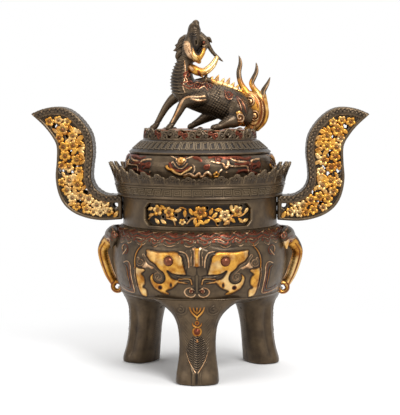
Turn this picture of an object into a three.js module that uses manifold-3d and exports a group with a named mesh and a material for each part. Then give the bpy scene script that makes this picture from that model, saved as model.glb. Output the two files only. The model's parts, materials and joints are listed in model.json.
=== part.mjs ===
// Bronze tripod incense burner with a pierced neck, two raised box handles and a lid with a beast finial.
// Millimetres, +Z up. The origin is on the ground under the vessel's axis, and the front faces -Y.
import * as THREE from "three";
import { mergeVertices } from "three/addons/utils/BufferGeometryUtils.js";
import Module from "manifold-3d";

const wasm = await Module();
wasm.setup();

// Clearances
const SEAT = 0.3; // between two pieces that are seated or brazed together
const PIN_FIT = 0.3; // between a rivet's shank and its hole, on the radius

// Facets
const ROUND = 36; // sides of the large turned shells: a multiple of 12, so that all three legs meet the same facets
const SMALL_ROUND = 10; // sides of a rivet or a boss

// Driving dimensions, in millimetres and degrees
const bowl = {
  baseZ: 84, // underside at the axis, above the ground
  ringR: 99, // edge where the belly turns under
  ringUp: 16, // heights above the underside
  bellyR: 109.5, // widest radius
  bellyUp: 62,
  mouthR: 97,
  mouthUp: 98,
  wall: 5,
  floorR: 48, // flat inside floor
};
const leg = {
  circleR: 89, // foot centre to the axis
  lean: 10, // how much nearer to the axis the leg is at its top
  footWidth: 52,
  footDepth: 39,
  ankleWidth: 45,
  ankleDepth: 38,
  ankleZ: 42,
  hipWidth: 98,
  hipDepth: 54,
  topZ: 104,
  rivetR: 4,
  rivetHeadR: 8,
  rivetHeadH: 3,
  rivetDepth: 14, // shank inside the leg
  rivetCircleR: 62,
};
const neck = { outerR: 96, wall: 5, height: 36.7 };
const windowCut = { halfWidth: 64, height: 27, up: 18.2, endCut: 8 };
const grille = { thickness: 3, gapsAcross: 7, gapWidth: 11, gapHeight: 8.5, rowStep: 6.2 };
const collar = { lowerR: 102, upperR: 106, height: 15.5, mouthR: 86 };
const crown = {
  count: 36, // upright lappets
  baseR: 106,
  tipR: 115,
  wall: 3.2,
  notchZ: 10, // solid band under the notches
  height: 25,
  notchWidth: 7,
};
const handle = {
  depth: 34,
  rim: 3.2, // outer edge of the frame
  spine: 10, // raised inner edge of the frame
  endPlate: 4,
  panel: 3, // thickness of an openwork panel
  panelInset: 1,
  rivetR: 2.6,
  rivetHeadR: 4.5,
  rivetHeadH: 2.5,
  rivetUp: [14.7, 25.2], // heights above the neck's underside
  gapR: 5.5, // half width of a gap in the openwork
};
const elephant = { headR: 13, trunkR: 5.6, curlR: 8, curlHoleR: 3.2, curlHalf: 4.5, tuskR: 5, tuskLength: 11, tuskAngle: 18, socketR: 7 };
const eye = { angle: 17.7, up: 63.5, bossR: 6.4, bossH: 5, shankR: 2.5 };
const lid = {
  wall: 3.5,
  seatR: 93,
  bulgeR: 94,
  bulgeZ: 22, // widest point above the seat
  stepR: 86,
  stepZ: 37,
  shoulderR: 73,
  shoulderZ: 50,
  topZ: 66, // top of the dome above the seat
  ventCount: 12,
  ventR: 4,
  ventCircleR: 49,
  ringH: 12, // locating ring below the seat
  ringWall: 3,
  ringPlay: 0.6, // locating ring to the mouth, on the radius
};
const clouds = { innerR: 56, outerR: 71, height: 7 };
const hoofRivet = { r: 2, headR: 4, headH: 2, depth: 7, padR: 5.5, padH: 1 };

// Places that follow from the dimensions
const ringZ = bowl.baseZ + bowl.ringUp;
const bellyZ = bowl.baseZ + bowl.bellyUp;
const mouthZ = bowl.baseZ + bowl.mouthUp;
const eyeZ = bowl.baseZ + eye.up;
const neckZ = mouthZ + SEAT;
const collarZ = neckZ + neck.height + SEAT;
const seatZ = collarZ + collar.height; // top of the collar, which carries the crown and the lid
const lidZ = seatZ + SEAT;
const windowZ = neckZ + windowCut.up;
const rivetZ = handle.rivetUp.map((up) => neckZ + up);
const beastZ = lidZ + lid.topZ; // top of the dome, where the beast's heights start
const panelHalf = handle.depth / 2 - handle.panelInset;

const finish = {
  bronze: new THREE.MeshStandardMaterial({ color: 0x574b3e, roughness: 0.42, metalness: 0.85 }),
  gilt: new THREE.MeshStandardMaterial({ color: 0xd39a3a, roughness: 0.35, metalness: 0.9 }),
  copper: new THREE.MeshStandardMaterial({ color: 0x7b3a2a, roughness: 0.4, metalness: 0.85 }),
  pale: new THREE.MeshStandardMaterial({ color: 0xc9b08a, roughness: 0.4, metalness: 0.8 }),
};

const burner = new THREE.Group();

function place(name, geometry, material) {
  const mesh = new THREE.Mesh(geometry, material);
  mesh.name = name;
  burner.add(mesh);
}

// Solid modelling helpers

// A closed geometry as a solid, turned the right way out if its faces point in.
function solidOf(geometry) {
  const bare = geometry.index ? geometry.toNonIndexed() : geometry.clone();
  bare.deleteAttribute("normal");
  bare.deleteAttribute("uv");
  const merged = mergeVertices(bare, 1e-3);
  const points = merged.attributes.position.array;
  const faces = new Uint32Array(merged.index.array);
  let volume = 0;
  const [a, b, c] = [new THREE.Vector3(), new THREE.Vector3(), new THREE.Vector3()];
  for (let i = 0; i < faces.length; i += 3) {
    a.fromArray(points, 3 * faces[i]);
    b.fromArray(points, 3 * faces[i + 1]);
    c.fromArray(points, 3 * faces[i + 2]);
    volume += a.dot(b.cross(c));
  }
  if (volume < 0) {
    for (let i = 0; i < faces.length; i += 3) {
      [faces[i + 1], faces[i + 2]] = [faces[i + 2], faces[i + 1]];
    }
  }
  const kept = [];
  for (let i = 0; i < faces.length; i += 3) {
    const [p, q, r] = faces.slice(i, i + 3);
    if (p !== q && q !== r && r !== p) kept.push(p, q, r);
  }
  return new wasm.Manifold(
    new wasm.Mesh({ numProp: 3, vertProperties: points, triVerts: new Uint32Array(kept) }),
  );
}

function geometryOf(solid) {
  const mesh = solid.getMesh();
  const points = new Float32Array(mesh.numVert * 3);
  for (let i = 0; i < mesh.numVert; i++) {
    points.set(mesh.vertProperties.subarray(i * mesh.numProp, i * mesh.numProp + 3), i * 3);
  }
  const geometry = new THREE.BufferGeometry();
  geometry.setAttribute("position", new THREE.BufferAttribute(points, 3));
  geometry.setIndex(new THREE.BufferAttribute(mesh.triVerts, 1));
  geometry.computeVertexNormals();
  return geometry;
}

// The largest body of a solid that a cut has left in several.
function largest(solid) {
  return solid.decompose().sort((a, b) => b.volume() - a.volume())[0];
}

// A solid of revolution about Z from a closed profile of [radius, z] points.
function turned(profile, sides = ROUND) {
  const points = profile.map(([r, z]) => new THREE.Vector2(r, z));
  if (profile[0][0] > 0) points.push(points[0].clone());
  const geometry = new THREE.LatheGeometry(points, sides);
  return solidOf(geometry.rotateX(Math.PI / 2));
}

// A straight prism of an outline drawn in X and Z, from y0 to y1.
function prism(outline, y0, y1) {
  const shape = new THREE.Shape(outline.map(([x, z]) => new THREE.Vector2(x, z)));
  const geometry = new THREE.ExtrudeGeometry(shape, { depth: y1 - y0, bevelEnabled: false, steps: 1 });
  return solidOf(geometry.rotateX(Math.PI / 2).translate(0, y1, 0));
}

// A tapering tube: sections are [x, y, z, radius] with an optional fifth number, its share of width in Y.
// grow makes it that much larger all round, for the space that a neighbour keeps clear of.
function limb(sections, sides = 8, grow = 0) {
  const centres = sections.map(([x, y, z]) => new THREE.Vector3(x, y, z));
  const count = sections.length - 1;
  const lengthen = (end, inner) => end.addScaledVector(end.clone().sub(inner).normalize(), grow);
  lengthen(centres[0], centres[1]);
  lengthen(centres[count], centres[count - 1]);
  const geometry = new THREE.CylinderGeometry(1, 1, 1, sides, count);
  const spot = geometry.attributes.position;
  const side = new THREE.Vector3();
  const across = new THREE.Vector3(0, 1, 0);
  for (let i = 0; i < spot.count; i++) {
    const level = Math.round((spot.getY(i) + 0.5) * count);
    const before = centres[Math.max(level - 1, 0)];
    const along = centres[Math.min(level + 1, count)].clone().sub(before).normalize();
    side.crossVectors(across, along).normalize();
    const over = new THREE.Vector3().crossVectors(along, side);
    const [, , , radius, flat = 1] = sections[level];
    const p = centres[level].clone();
    p.addScaledVector(side, spot.getX(i) * (radius + grow));
    p.addScaledVector(over, spot.getZ(i) * (radius * flat + grow));
    spot.setXYZ(i, p.x, p.y, p.z);
  }
  return solidOf(geometry);
}

// A stack of level ellipses: [z, centre x, half size in X, half size in Y].
function stack(levels, sides) {
  const count = levels.length - 1;
  const geometry = new THREE.CylinderGeometry(1, 1, 1, sides, count);
  const spot = geometry.attributes.position;
  for (let i = 0; i < spot.count; i++) {
    const [z, x, halfX, halfY] = levels[Math.round((spot.getY(i) + 0.5) * count)];
    spot.setXYZ(i, x + spot.getX(i) * halfX, spot.getZ(i) * halfY, z);
  }
  return solidOf(geometry);
}

// A rivet along +Z from z = 0 to its length, with a head below and, if asked for, a peened head above.
function rivet({ r, headR, headH, length, upperHead = 0 }) {
  const profile = [[0, -headH], [headR * 0.6, -headH], [headR, -headH * 0.4], [headR, 0], [r, 0]];
  if (upperHead) profile.push([r, length], [headR, length], [headR * 0.7, length + upperHead]);
  else profile.push([r, length]);
  profile.push([0, length + upperHead]);
  return turned(profile, SMALL_ROUND);
}

function cylinder(r, z0, z1, sides = SMALL_ROUND) {
  return turned([[0, z0], [r, z0], [r, z1], [0, z1]], sides);
}

function smooth(points, count) {
  const curve = new THREE.SplineCurve(points.map(([x, z]) => new THREE.Vector2(x, z)));
  return curve.getPoints(count).map((p) => [p.x, p.y]);
}

// Vessel

const belly = smooth(
  [
    [bowl.ringR, ringZ],
    [bowl.bellyR - 4, ringZ + 0.4 * (bellyZ - ringZ)],
    [bowl.bellyR, bellyZ],
    [bowl.mouthR + 8, mouthZ - 8],
    [bowl.mouthR, mouthZ],
  ],
  8,
);
const under = [
  [0, bowl.baseZ],
  [0.45 * bowl.ringR, bowl.baseZ + 1.5],
  [0.78 * bowl.ringR, ringZ - 9],
];

function bowlOutside(grow = 0) {
  const profile = [[0, bowl.baseZ - grow]];
  for (const [r, z] of under.slice(1)) profile.push([r + grow * 0.4, z - grow]);
  for (const [r, z] of belly) profile.push([r + grow, z]);
  profile.push([0, mouthZ]);
  return turned(profile);
}

function bowlInside() {
  const floorZ = bowl.baseZ + bowl.wall + 1.5;
  const profile = [[0, floorZ], [bowl.floorR, floorZ], [0.78 * bowl.ringR, ringZ - 9 + bowl.wall]];
  for (const [r, z] of belly.slice(1)) profile.push([r - bowl.wall, z]);
  profile.push([bowl.mouthR - bowl.wall, mouthZ + 1], [0, mouthZ + 1]);
  return turned(profile);
}

// Moves a solid made about +Z so that it points outwards from the belly at an angle from +X and a height.
function onBelly(solid, angle, r, z) {
  return solid.rotate([0, 90, 0]).translate([r, 0, z]).rotate([0, 0, angle]);
}

const eyePlaces = { front_left: 270 - eye.angle, front_right: 270 + eye.angle, rear_left: 90 + eye.angle, rear_right: 90 - eye.angle };
const legAngles = { front: 270, rear_left: 150, rear_right: 30 };
const bellyAt = (z) => {
  const upper = belly.findIndex(([, level]) => level >= z);
  const [r0, z0] = belly[upper - 1];
  const [r1, z1] = belly[upper];
  return r0 + ((r1 - r0) * (z - z0)) / (z1 - z0);
};

function buildBowl() {
  let body = bowlOutside().subtract(bowlInside());
  for (const angle of Object.values(eyePlaces)) {
    const hole = cylinder(eye.shankR + PIN_FIT, -4 * bowl.wall, bowl.wall);
    body = body.subtract(onBelly(hole, angle, bellyAt(eyeZ), eyeZ));
  }
  for (const angle of Object.values(legAngles)) {
    const hole = cylinder(leg.rivetR + PIN_FIT, bowl.baseZ - 10, bowl.baseZ + 25);
    body = body.subtract(hole.translate([leg.rivetCircleR, 0, 0]).rotate([0, 0, angle]));
  }
  place("bowl", geometryOf(body), finish.bronze);
}

function buildEyes() {
  const keepOut = bowlOutside(SEAT);
  for (const [where, angle] of Object.entries(eyePlaces)) {
    const { bossR, bossH, shankR } = eye;
    const profile = [[0, -bossR], [bossR, -bossR], [bossR, 1], [0.8 * bossR, 0.7 * bossH], [0, bossH]];
    const head = onBelly(turned(profile, SMALL_ROUND), angle, bellyAt(eyeZ), eyeZ).subtract(keepOut);
    const shank = onBelly(cylinder(shankR, -bowl.wall - 1, 1), angle, bellyAt(eyeZ), eyeZ);
    place("eye_boss_" + where, geometryOf(head.add(shank)), finish.copper);
  }
}

// The leg stands on +X and is turned to its place afterwards.
function legSolid() {
  const at = (share) => leg.circleR - leg.lean * share;
  const levels = [
    [0, leg.circleR, leg.footDepth / 2, leg.footWidth / 2],
    [6, leg.circleR, leg.footDepth / 2 + 0.5, leg.footWidth / 2 + 0.5],
    [24, at(0.35), leg.ankleDepth / 2, leg.ankleWidth / 2 + 1],
    [leg.ankleZ, at(0.55), leg.ankleDepth / 2, leg.ankleWidth / 2],
    [leg.ankleZ + 18, at(0.75), leg.ankleDepth / 2 + 1, leg.ankleWidth / 2 + 2],
    [leg.ankleZ + 34, at(0.95), leg.hipDepth / 2 - 5, leg.ankleWidth / 2 + 8],
    [leg.topZ - 14, at(1.2), leg.hipDepth / 2, leg.hipWidth / 2 - 8],
    [leg.topZ, at(1.4), leg.hipDepth / 2, leg.hipWidth / 2],
  ];
  return stack(levels, 20);
}

function buildLegs() {
  const keepOut = bowlOutside(SEAT);
  const shankTop = bowl.baseZ + bowl.wall + 1.5;
  const hole = cylinder(leg.rivetR + PIN_FIT, bowl.baseZ - leg.rivetDepth - 1, shankTop);
  const shaped = legSolid().subtract(keepOut).subtract(hole.translate([leg.rivetCircleR, 0, 0]));
  const floorAt = ringZ - 9 + bowl.wall;
  const pin = rivet({
    r: leg.rivetR,
    headR: leg.rivetHeadR,
    headH: leg.rivetHeadH,
    length: floorAt - bowl.baseZ + leg.rivetDepth,
  });
  for (const [where, angle] of Object.entries(legAngles)) {
    const biggest = largest(shaped);
    place("leg_" + where, geometryOf(biggest.rotate([0, 0, angle])), finish.bronze);
    const placed = pin.rotate([180, 0, 0]).translate([leg.rivetCircleR, 0, floorAt + SEAT]);
    place("leg_rivet_" + where, geometryOf(placed.rotate([0, 0, angle])), finish.bronze);
  }
}

// Neck with its two windows

function windowOutline(shrink = 0) {
  const w = windowCut.halfWidth - shrink;
  const h = windowCut.height / 2 - shrink;
  const c = windowCut.endCut;
  const z = windowZ;
  return [
    [-w, z],
    [-w + 0.3 * c, z - 0.62 * h],
    [-w + c, z - h],
    [w - c, z - h],
    [w - 0.3 * c, z - 0.62 * h],
    [w, z],
    [w - 0.3 * c, z + 0.62 * h],
    [w - c, z + h],
    [-w + c, z + h],
    [-w + 0.3 * c, z + 0.62 * h],
  ];
}

function handleRivetHoles(solid) {
  let cut = solid;
  for (const side of [0, 180]) {
    for (const z of rivetZ) {
      const hole = cylinder(handle.rivetR + PIN_FIT, neck.outerR - 2 * neck.wall, neck.outerR + 30);
      cut = cut.subtract(hole.rotate([0, 90, 0]).translate([0, 0, z]).rotate([0, 0, side]));
    }
  }
  return cut;
}

function buildNeck() {
  const inner = neck.outerR - neck.wall;
  const top = neckZ + neck.height;
  const ring = turned([[inner, neckZ], [neck.outerR, neckZ], [neck.outerR, top], [inner, top]]);
  const through = prism(windowOutline(), -neck.outerR - 5, neck.outerR + 5);
  place("neck", geometryOf(handleRivetHoles(ring.subtract(through))), finish.bronze);
}

function buildWindowPanels() {
  const mid = neck.outerR - neck.wall / 2;
  const [r0, r1] = [mid - grille.thickness / 2, mid + grille.thickness / 2];
  const [z0, z1] = [neckZ, neckZ + neck.height];
  const band = turned([[r0, z0], [r1, z0], [r1, z1], [r0, z1]]);
  let panel = band.intersect(prism(windowOutline(SEAT), -neck.outerR - 5, 0));
  const step = (2 * (windowCut.halfWidth - windowCut.endCut)) / grille.gapsAcross;
  for (let i = 0; i < grille.gapsAcross; i++) {
    for (const row of [-1, 1]) {
      const x = (i - (grille.gapsAcross - 1) / 2) * step + (row * step) / 6;
      const z = windowZ + row * grille.rowStep;
      const [w, h] = [grille.gapWidth / 2, grille.gapHeight / 2];
      const gap = [[x - w, z], [x - w / 2, z - h], [x + w / 2, z - h], [x + w, z], [x + w / 2, z + h], [x - w / 2, z + h]];
      panel = panel.subtract(prism(gap, -neck.outerR - 5, 0));
    }
  }
  place("window_panel_front", geometryOf(panel), finish.gilt);
  place("window_panel_rear", geometryOf(panel.rotate([0, 0, 180])), finish.gilt);
}

function buildCollar() {
  const profile = [
    [collar.mouthR, collarZ],
    [collar.lowerR - 2, collarZ],
    [collar.lowerR, collarZ + 1.5],
    [collar.upperR, seatZ - 1],
    [collar.upperR, seatZ],
    [collar.mouthR, seatZ],
  ];
  place("collar", geometryOf(turned(profile)), finish.bronze);
}

function buildCrown() {
  const z0 = seatZ + SEAT;
  const outer = (h) => crown.baseR + (crown.tipR - crown.baseR) * (h / crown.height) ** 1.6;
  const heights = [0, crown.notchZ, 0.72 * crown.height, crown.height];
  const profile = heights.map((h) => [outer(h), z0 + h]);
  for (const h of [...heights].reverse()) profile.push([outer(h) - crown.wall, z0 + h]);
  let ring = turned(profile, 2 * crown.count);
  const pitch = (2 * Math.PI * crown.tipR) / crown.count;
  const top = z0 + crown.height + 1;
  const notch = prism(
    [
      [0, z0 + crown.notchZ],
      [crown.notchWidth / 2, z0 + 0.72 * crown.height],
      [pitch / 2 - 0.6, top],
      [-pitch / 2 + 0.6, top],
      [-crown.notchWidth / 2, z0 + 0.72 * crown.height],
    ],
    crown.baseR - 10,
    crown.tipR + 5,
  );
  const cuts = [];
  for (let i = 0; i < crown.count; i++) cuts.push(notch.rotate([0, 0, (360 * (i + 0.5)) / crown.count]));
  for (const cut of cuts) ring = ring.subtract(cut);
  place("crown", geometryOf(ring), finish.bronze);
}

// Handles, drawn on +X in X and Z and mirrored for the left

const handleFoot = { x: neck.outerR + SEAT, topZ: collarZ - 2 * SEAT, lowZ: neckZ + 5.7 };
// Points of the two long edges, outwards from the neck's surface and up from the foot of the handle.
const spinePoints = [
  [113, 131.5], [98, 137.5], [81.5, 140], [68, 137.5], [56, 129.5], [45, 117], [38, 103], [36, 84],
  [38, 66], [38.5, 51], [33, 39], [22, 31.4], [12, 30.4],
].map(([out, up]) => [neck.outerR + out, handleFoot.lowZ + up]);
const edgePoints = [
  [0.3, 1], [26, -0.5], [45, 2.5], [61, 9], [73, 19.5], [80, 34], [83, 53], [81.5, 73], [81.5, 92], [88, 105],
  [98, 117.5], [113, 131.5],
].map(([out, up]) => [neck.outerR + out, handleFoot.lowZ + up]);
const spineCurve = smooth(spinePoints, 30);
const edgeCurve = smooth(edgePoints, 30);

// Moves each point of an open curve to its left by a distance, or to its right if that is negative.
function offset(curve, distance) {
  return curve.map(([x, z], i) => {
    const [x0, z0] = curve[Math.max(i - 1, 0)];
    const [x1, z1] = curve[Math.min(i + 1, curve.length - 1)];
    const length = Math.hypot(x1 - x0, z1 - z0);
    return [x - ((z1 - z0) / length) * distance, z + ((x1 - x0) / length) * distance];
  });
}

function handleOutline() {
  return [...spineCurve, [handleFoot.x, handleFoot.topZ], ...edgeCurve.slice(0, -1)];
}

// The opening of the frame, shrunk for the panels that lie in it.
function handleOpening(shrink = 0) {
  const upper = offset(spineCurve.slice(4), handle.spine + shrink);
  const lower = offset(edgeCurve.slice(0, -4), handle.rim + shrink);
  const left = handleFoot.x + handle.endPlate + shrink;
  const topZ = handleFoot.topZ - handle.rim - 2 - shrink;
  const clear = ([x]) => x > left + 1;
  const upperKept = upper.filter(clear).map(([x, z]) => [x, x < neck.outerR + 32 ? topZ : z]);
  const lowerKept = lower.filter(clear);
  return [...upperKept, [left, topZ], [left, lowerKept[0][1]], ...lowerKept];
}

function mirrored(solid) {
  return solid.mirror([1, 0, 0]);
}

function buildHandleFrames() {
  const half = handle.depth / 2;
  const outside = prism(handleOutline(), -half, half);
  const inside = prism(handleOpening(), -half - 1, half + 1);
  const neckSpace = cylinder(neck.outerR + SEAT, handleFoot.lowZ - 10, handleFoot.topZ + 10, ROUND);
  const frame = handleRivetHoles(outside.subtract(inside).subtract(neckSpace).subtract(bowlOutside(SEAT)));
  place("handle_frame_right", geometryOf(frame), finish.bronze);
  place("handle_frame_left", geometryOf(mirrored(frame)), finish.bronze);
}

function buildHandlePanels() {
  const outline = handleOpening(SEAT);
  const middle = spineCurve.map(([x, z], i) => {
    const [ex, ez] = edgeCurve[edgeCurve.length - 1 - i];
    return [(x + ex) / 2 - 2, (z + ez) / 2 - 2];
  });
  let plate = prism(outline, -panelHalf, -panelHalf + handle.panel);
  middle.slice(6, 28).forEach(([x, z], i) => {
    if (i % 2) return;
    const side = i % 4 ? 1 : -1;
    const [x1, z1] = middle[i + 7];
    const length = Math.hypot(x1 - x, z1 - z);
    const [nx, nz] = [-(z1 - z) / length, (x1 - x) / length];
    const r = handle.gapR;
    const [cx, cz] = [x + side * nx * 6, z + side * nz * 6];
    const gap = [];
    for (let k = 0; k < 6; k++) {
      const turn = (k * Math.PI) / 3;
      gap.push([cx + r * Math.cos(turn), cz + r * 0.8 * Math.sin(turn)]);
    }
    plate = plate.subtract(prism(gap, -handle.depth, 0));
  });
  const rear = plate.mirror([0, 1, 0]);
  place("handle_panel_right_front", geometryOf(plate), finish.gilt);
  place("handle_panel_right_rear", geometryOf(rear), finish.gilt);
  place("handle_panel_left_front", geometryOf(mirrored(plate)), finish.gilt);
  place("handle_panel_left_rear", geometryOf(mirrored(rear)), finish.gilt);
}

function buildHandleRivets() {
  const start = (neck.outerR - neck.wall) * Math.cos(Math.PI / ROUND) - SEAT; // off the flat facets
  const end = handleFoot.x + handle.endPlate + SEAT;
  const pin = rivet({
    r: handle.rivetR,
    headR: handle.rivetHeadR,
    headH: handle.rivetHeadH,
    length: end - start,
    upperHead: 1.5,
  });
  for (const [name, side] of Object.entries({ right: 0, left: 180 })) {
    rivetZ.forEach((z, i) => {
      const placed = pin.rotate([0, 90, 0]).translate([start, 0, z]).rotate([0, 0, side]);
      place("handle_rivet_" + name + "_" + (i ? "upper" : "lower"), geometryOf(placed), finish.bronze);
    });
  }
}

// Elephant heads on the sides of the belly

function buildElephants() {
  const keepOut = bowlOutside(SEAT);
  const { trunkR: t, headR, curlHalf } = elephant;
  const half = curlHalf / t; // the trunk's share of width in Y narrows to that of its curl
  const place3 = ([out, drop, r, flat = 1]) => [bowl.bellyR + out, 0, mouthZ - drop, r, flat];
  const head = limb(
    [
      [-15.5, 12, 7],
      [-7, 13.5, headR, 1.25],
      [0.5, 18, 0.8 * headR, 1.35],
      [7, 23, 0.66 * headR, 1.2],
      [12.6, 31, t + 0.7],
      [13.4, 38, t],
      [11.2, 48, t - 0.2, 0.95],
      [6.8, 61, t - 0.5, half],
      [1.6, 72, t - 1.2, half],
      [-1.4, 76.5, t - 1.6, half],
    ].map(place3),
    10,
  );
  // the trunk's back, cast against the belly down to just above the curl
  const back = limb([[-2, 22, 10, 0.9], [2, 34, 8.6, 0.6], [1.5, 46, 8.2, 0.55], [-1, 58, 7, 0.55], [-4, 67, 4.6, 0.7]].map(place3), 8);
  // cheeks that run round the belly to the sockets of the tusks
  const angle = (elephant.tuskAngle * Math.PI) / 180;
  const atTusk = (side, [out, drop, r]) => {
    const far = bowl.bellyR + out;
    return [far * Math.cos(angle), side * far * Math.sin(angle), mouthZ - drop, r];
  };
  const cheek = (side) => limb([[bowl.bellyR - 2, side * 6, mouthZ - 14, 12], atTusk(side, [-1, 13, elephant.socketR])], 10);
  const atCurl = (solid) => solid.rotate([90, 0, 0]).translate([bowl.bellyR - 5.4, 0, mouthZ - 79.5]);
  const curl = atCurl(cylinder(elephant.curlR, -curlHalf, curlHalf, 14));
  const hole = atCurl(cylinder(elephant.curlHoleR, -2 * curlHalf, 2 * curlHalf));
  const under = cylinder(2 * bowl.bellyR, handleFoot.lowZ - 1.5 - SEAT, neckZ + 2 * neck.height, 4);
  const whole = head.add(back).add(cheek(-1)).add(cheek(1)).add(curl).subtract(hole).subtract(keepOut).subtract(under);
  const tuskAt = (side, grow) => {
    const { tuskR: r, tuskLength: length } = elephant;
    const sections = [[0.5, 14, r], [0.5, 14 + 0.45 * length, 0.92 * r], [1.2, 14 + length, 0.35 * r]];
    return limb(sections.map((section) => atTusk(side, section)), 8, grow);
  };
  const socketed = whole.subtract(tuskAt(-1, SEAT)).subtract(tuskAt(1, SEAT));
  place("elephant_head_right", geometryOf(socketed), finish.copper);
  place("elephant_head_left", geometryOf(mirrored(socketed)), finish.copper);
  for (const [where, side] of Object.entries({ front: -1, rear: 1 })) {
    const tusk = tuskAt(side, 0).subtract(keepOut);
    place("tusk_right_" + where, geometryOf(tusk), finish.pale);
    place("tusk_left_" + where, geometryOf(mirrored(tusk)), finish.pale);
  }
}

// Lid

const dome = [
  [lid.seatR, 0],
  [lid.bulgeR - 1, 10],
  [lid.bulgeR, lid.bulgeZ],
  [lid.bulgeR - 2, lid.bulgeZ + 7],
  [lid.stepR + 1, lid.stepZ - 1.5],
  [lid.stepR, lid.stepZ],
  [lid.shoulderR + 4, lid.shoulderZ - 6],
  [lid.shoulderR, lid.shoulderZ - 1],
  [lid.shoulderR - 11, lid.topZ - 12],
  [lid.shoulderR - 28, lid.topZ - 5],
  [lid.shoulderR - 48, lid.topZ - 1],
  [0, lid.topZ],
].map(([r, h]) => [r, lidZ + h]);

// Height of the dome's outer surface at a radius on its upper part.
function domeZ(radius) {
  const outer = dome.findIndex(([r], i) => i > 5 && r <= radius);
  const [r0, z0] = dome[outer - 1];
  const [r1, z1] = dome[outer];
  return z0 + ((z1 - z0) * (radius - r0)) / (r1 - r0);
}

function domeSolid(grow = 0) {
  const profile = dome.map(([r, z], i) => [i < 8 ? Math.max(r + grow, 0) : r, i > 5 ? z + grow : z]);
  return turned([[0, lidZ], ...profile]);
}

function domeHollow() {
  const inner = dome.map(([r, z], i) => [Math.max(r - lid.wall, 0), i ? z - (i > 5 ? lid.wall : 0) : z - 1]);
  return turned([[0, lidZ - 1], ...inner]);
}

const hooves = {
  front_near: [-41, -30],
  front_far: [-60, 6],
  hind_near: [20, -37],
  hind_far: [-12, 14],
};

// Level of the flat pad inside the dome that a hoof rivet's head bears on.
function padZ(x, y) {
  return domeZ(Math.hypot(x, y) + hoofRivet.padR + lid.wall) - lid.wall - hoofRivet.padH;
}

function buildLid() {
  let shell = domeSolid().subtract(domeHollow());
  for (let i = 0; i < lid.ventCount; i++) {
    const vent = cylinder(lid.ventR, lidZ, lidZ + lid.topZ + 5, 8).translate([lid.ventCircleR, 0, 0]);
    shell = shell.subtract(vent.rotate([0, 0, (360 * (i + 0.5)) / lid.ventCount]));
  }
  for (const [x, y] of Object.values(hooves)) {
    const pad = cylinder(hoofRivet.padR, padZ(x, y), lidZ + lid.topZ).translate([x, y, 0]);
    const hole = cylinder(hoofRivet.r + PIN_FIT, lidZ, lidZ + lid.topZ + 9, 8).translate([x, y, 0]);
    shell = shell.add(pad.intersect(domeSolid())).subtract(hole);
  }
  place("lid_shell", geometryOf(shell), finish.bronze);
  const r1 = collar.mouthR - lid.ringPlay;
  const r0 = r1 - lid.ringWall;
  const lip = lid.seatR - lid.wall - SEAT;
  const z1 = lidZ + 4;
  const ring = [[r0, lidZ - lid.ringH], [r1, lidZ - lid.ringH], [r1, lidZ], [lip, lidZ], [lip, z1], [r0, z1]];
  place("lid_locating_ring", geometryOf(turned(ring)), finish.bronze);
}

function buildClouds() {
  const top = (r) => domeZ(r) + clouds.height;
  const mid = (clouds.innerR + clouds.outerR) / 2;
  const profile = [
    [clouds.innerR, domeZ(clouds.innerR) - 3],
    [clouds.outerR, domeZ(clouds.outerR) - 3],
    [clouds.outerR, top(clouds.outerR) - 3],
    [mid, top(mid)],
    [clouds.innerR, top(clouds.innerR) - 3],
  ];
  let ring = turned(profile).subtract(domeSolid(SEAT));
  for (const legPart of beastLegs(SEAT)) ring = ring.subtract(legPart);
  for (const [x, y] of Object.values(hooves)) {
    ring = ring.subtract(cylinder(hoofRivet.r + PIN_FIT, lidZ, lidZ + lid.topZ + 9, 8).translate([x, y, 0]));
  }
  const biggest = largest(ring);
  place("cloud_ring", geometryOf(biggest), finish.copper);
}

// Beast finial

// Sections are [x, y, height above the dome, radius, share of width in Y].
const torsoSections = [
  [-14, -6, 88, 8.5, 0.9],
  [-20, -5, 77, 12, 0.9],
  [-22, -5, 61, 15, 0.95],
  [-16, -6, 46, 18.5, 0.95],
  [4, -6, 37.5, 20, 0.95],
  [26, -4, 32, 21.5, 0.95],
  [45, -2, 25, 21.5, 0.95],
  [58, 0, 17.5, 13, 0.95],
];
const raised = (sections) => sections.map(([x, y, up, ...rest]) => [x, y, beastZ + up, ...rest]);

function torso(grow = 0) {
  return limb(raised(torsoSections), 12, grow);
}

function legSections(name) {
  const [hx, hy] = hooves[name];
  const ground = domeZ(Math.hypot(hx, hy)) + SEAT - beastZ;
  const paths = {
    front_near: [[2, -20, 37, 8], [-17, -24, 33, 7], [-25, -26, 21, 5.5], [-34, -28.5, 7, 4.6]],
    front_far: [[-12, 6, 49, 8], [-30, 7, 37, 7.5], [-40, 7, 25, 5.8], [-51, 6.5, 8, 4.6]],
    hind_near: [[48, -20, 27, 13], [36, -26, 14, 10], [28, -32, 6, 6]],
    hind_far: [[24, 10, 23, 11], [8, 13, 15, 8], [-4, 14, 8, 5.5]],
  };
  return [...paths[name], [hx, hy, ground + 4, 5], [hx, hy, ground, 5.6]];
}

function beastLegs(grow = 0) {
  return Object.keys(hooves).map((name) => limb(raised(legSections(name)), 8, grow));
}

function headSolid(grow = 0) {
  const sections = [
    [-15, -6, 90, 11],
    [-10, -7, 101, 14, 0.9],
    [-7, -9, 113, 10.5, 0.9],
    [-6, -11, 123, 8, 0.9],
    [-5, -12, 131.5, 3.5, 0.9],
  ];
  return limb(raised(sections), 10, grow);
}

function hornSolid(grow = 0) {
  return limb(raised([[1, -4, 116, 4], [10, -3, 108, 4], [19, -2, 95, 3.2], [29, -1, 82, 1]]), 7, grow);
}

function tailSolid(grow = 0) {
  const sections = [
    [52, 0, 43, 5],
    [64, 0, 37, 10, 0.9],
    [71, 0, 24, 12, 0.9],
    [70, 0, 10, 11, 0.9],
    [60, 0, 0.5, 6, 0.9],
  ];
  return limb(raised(sections), 10, grow);
}

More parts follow.
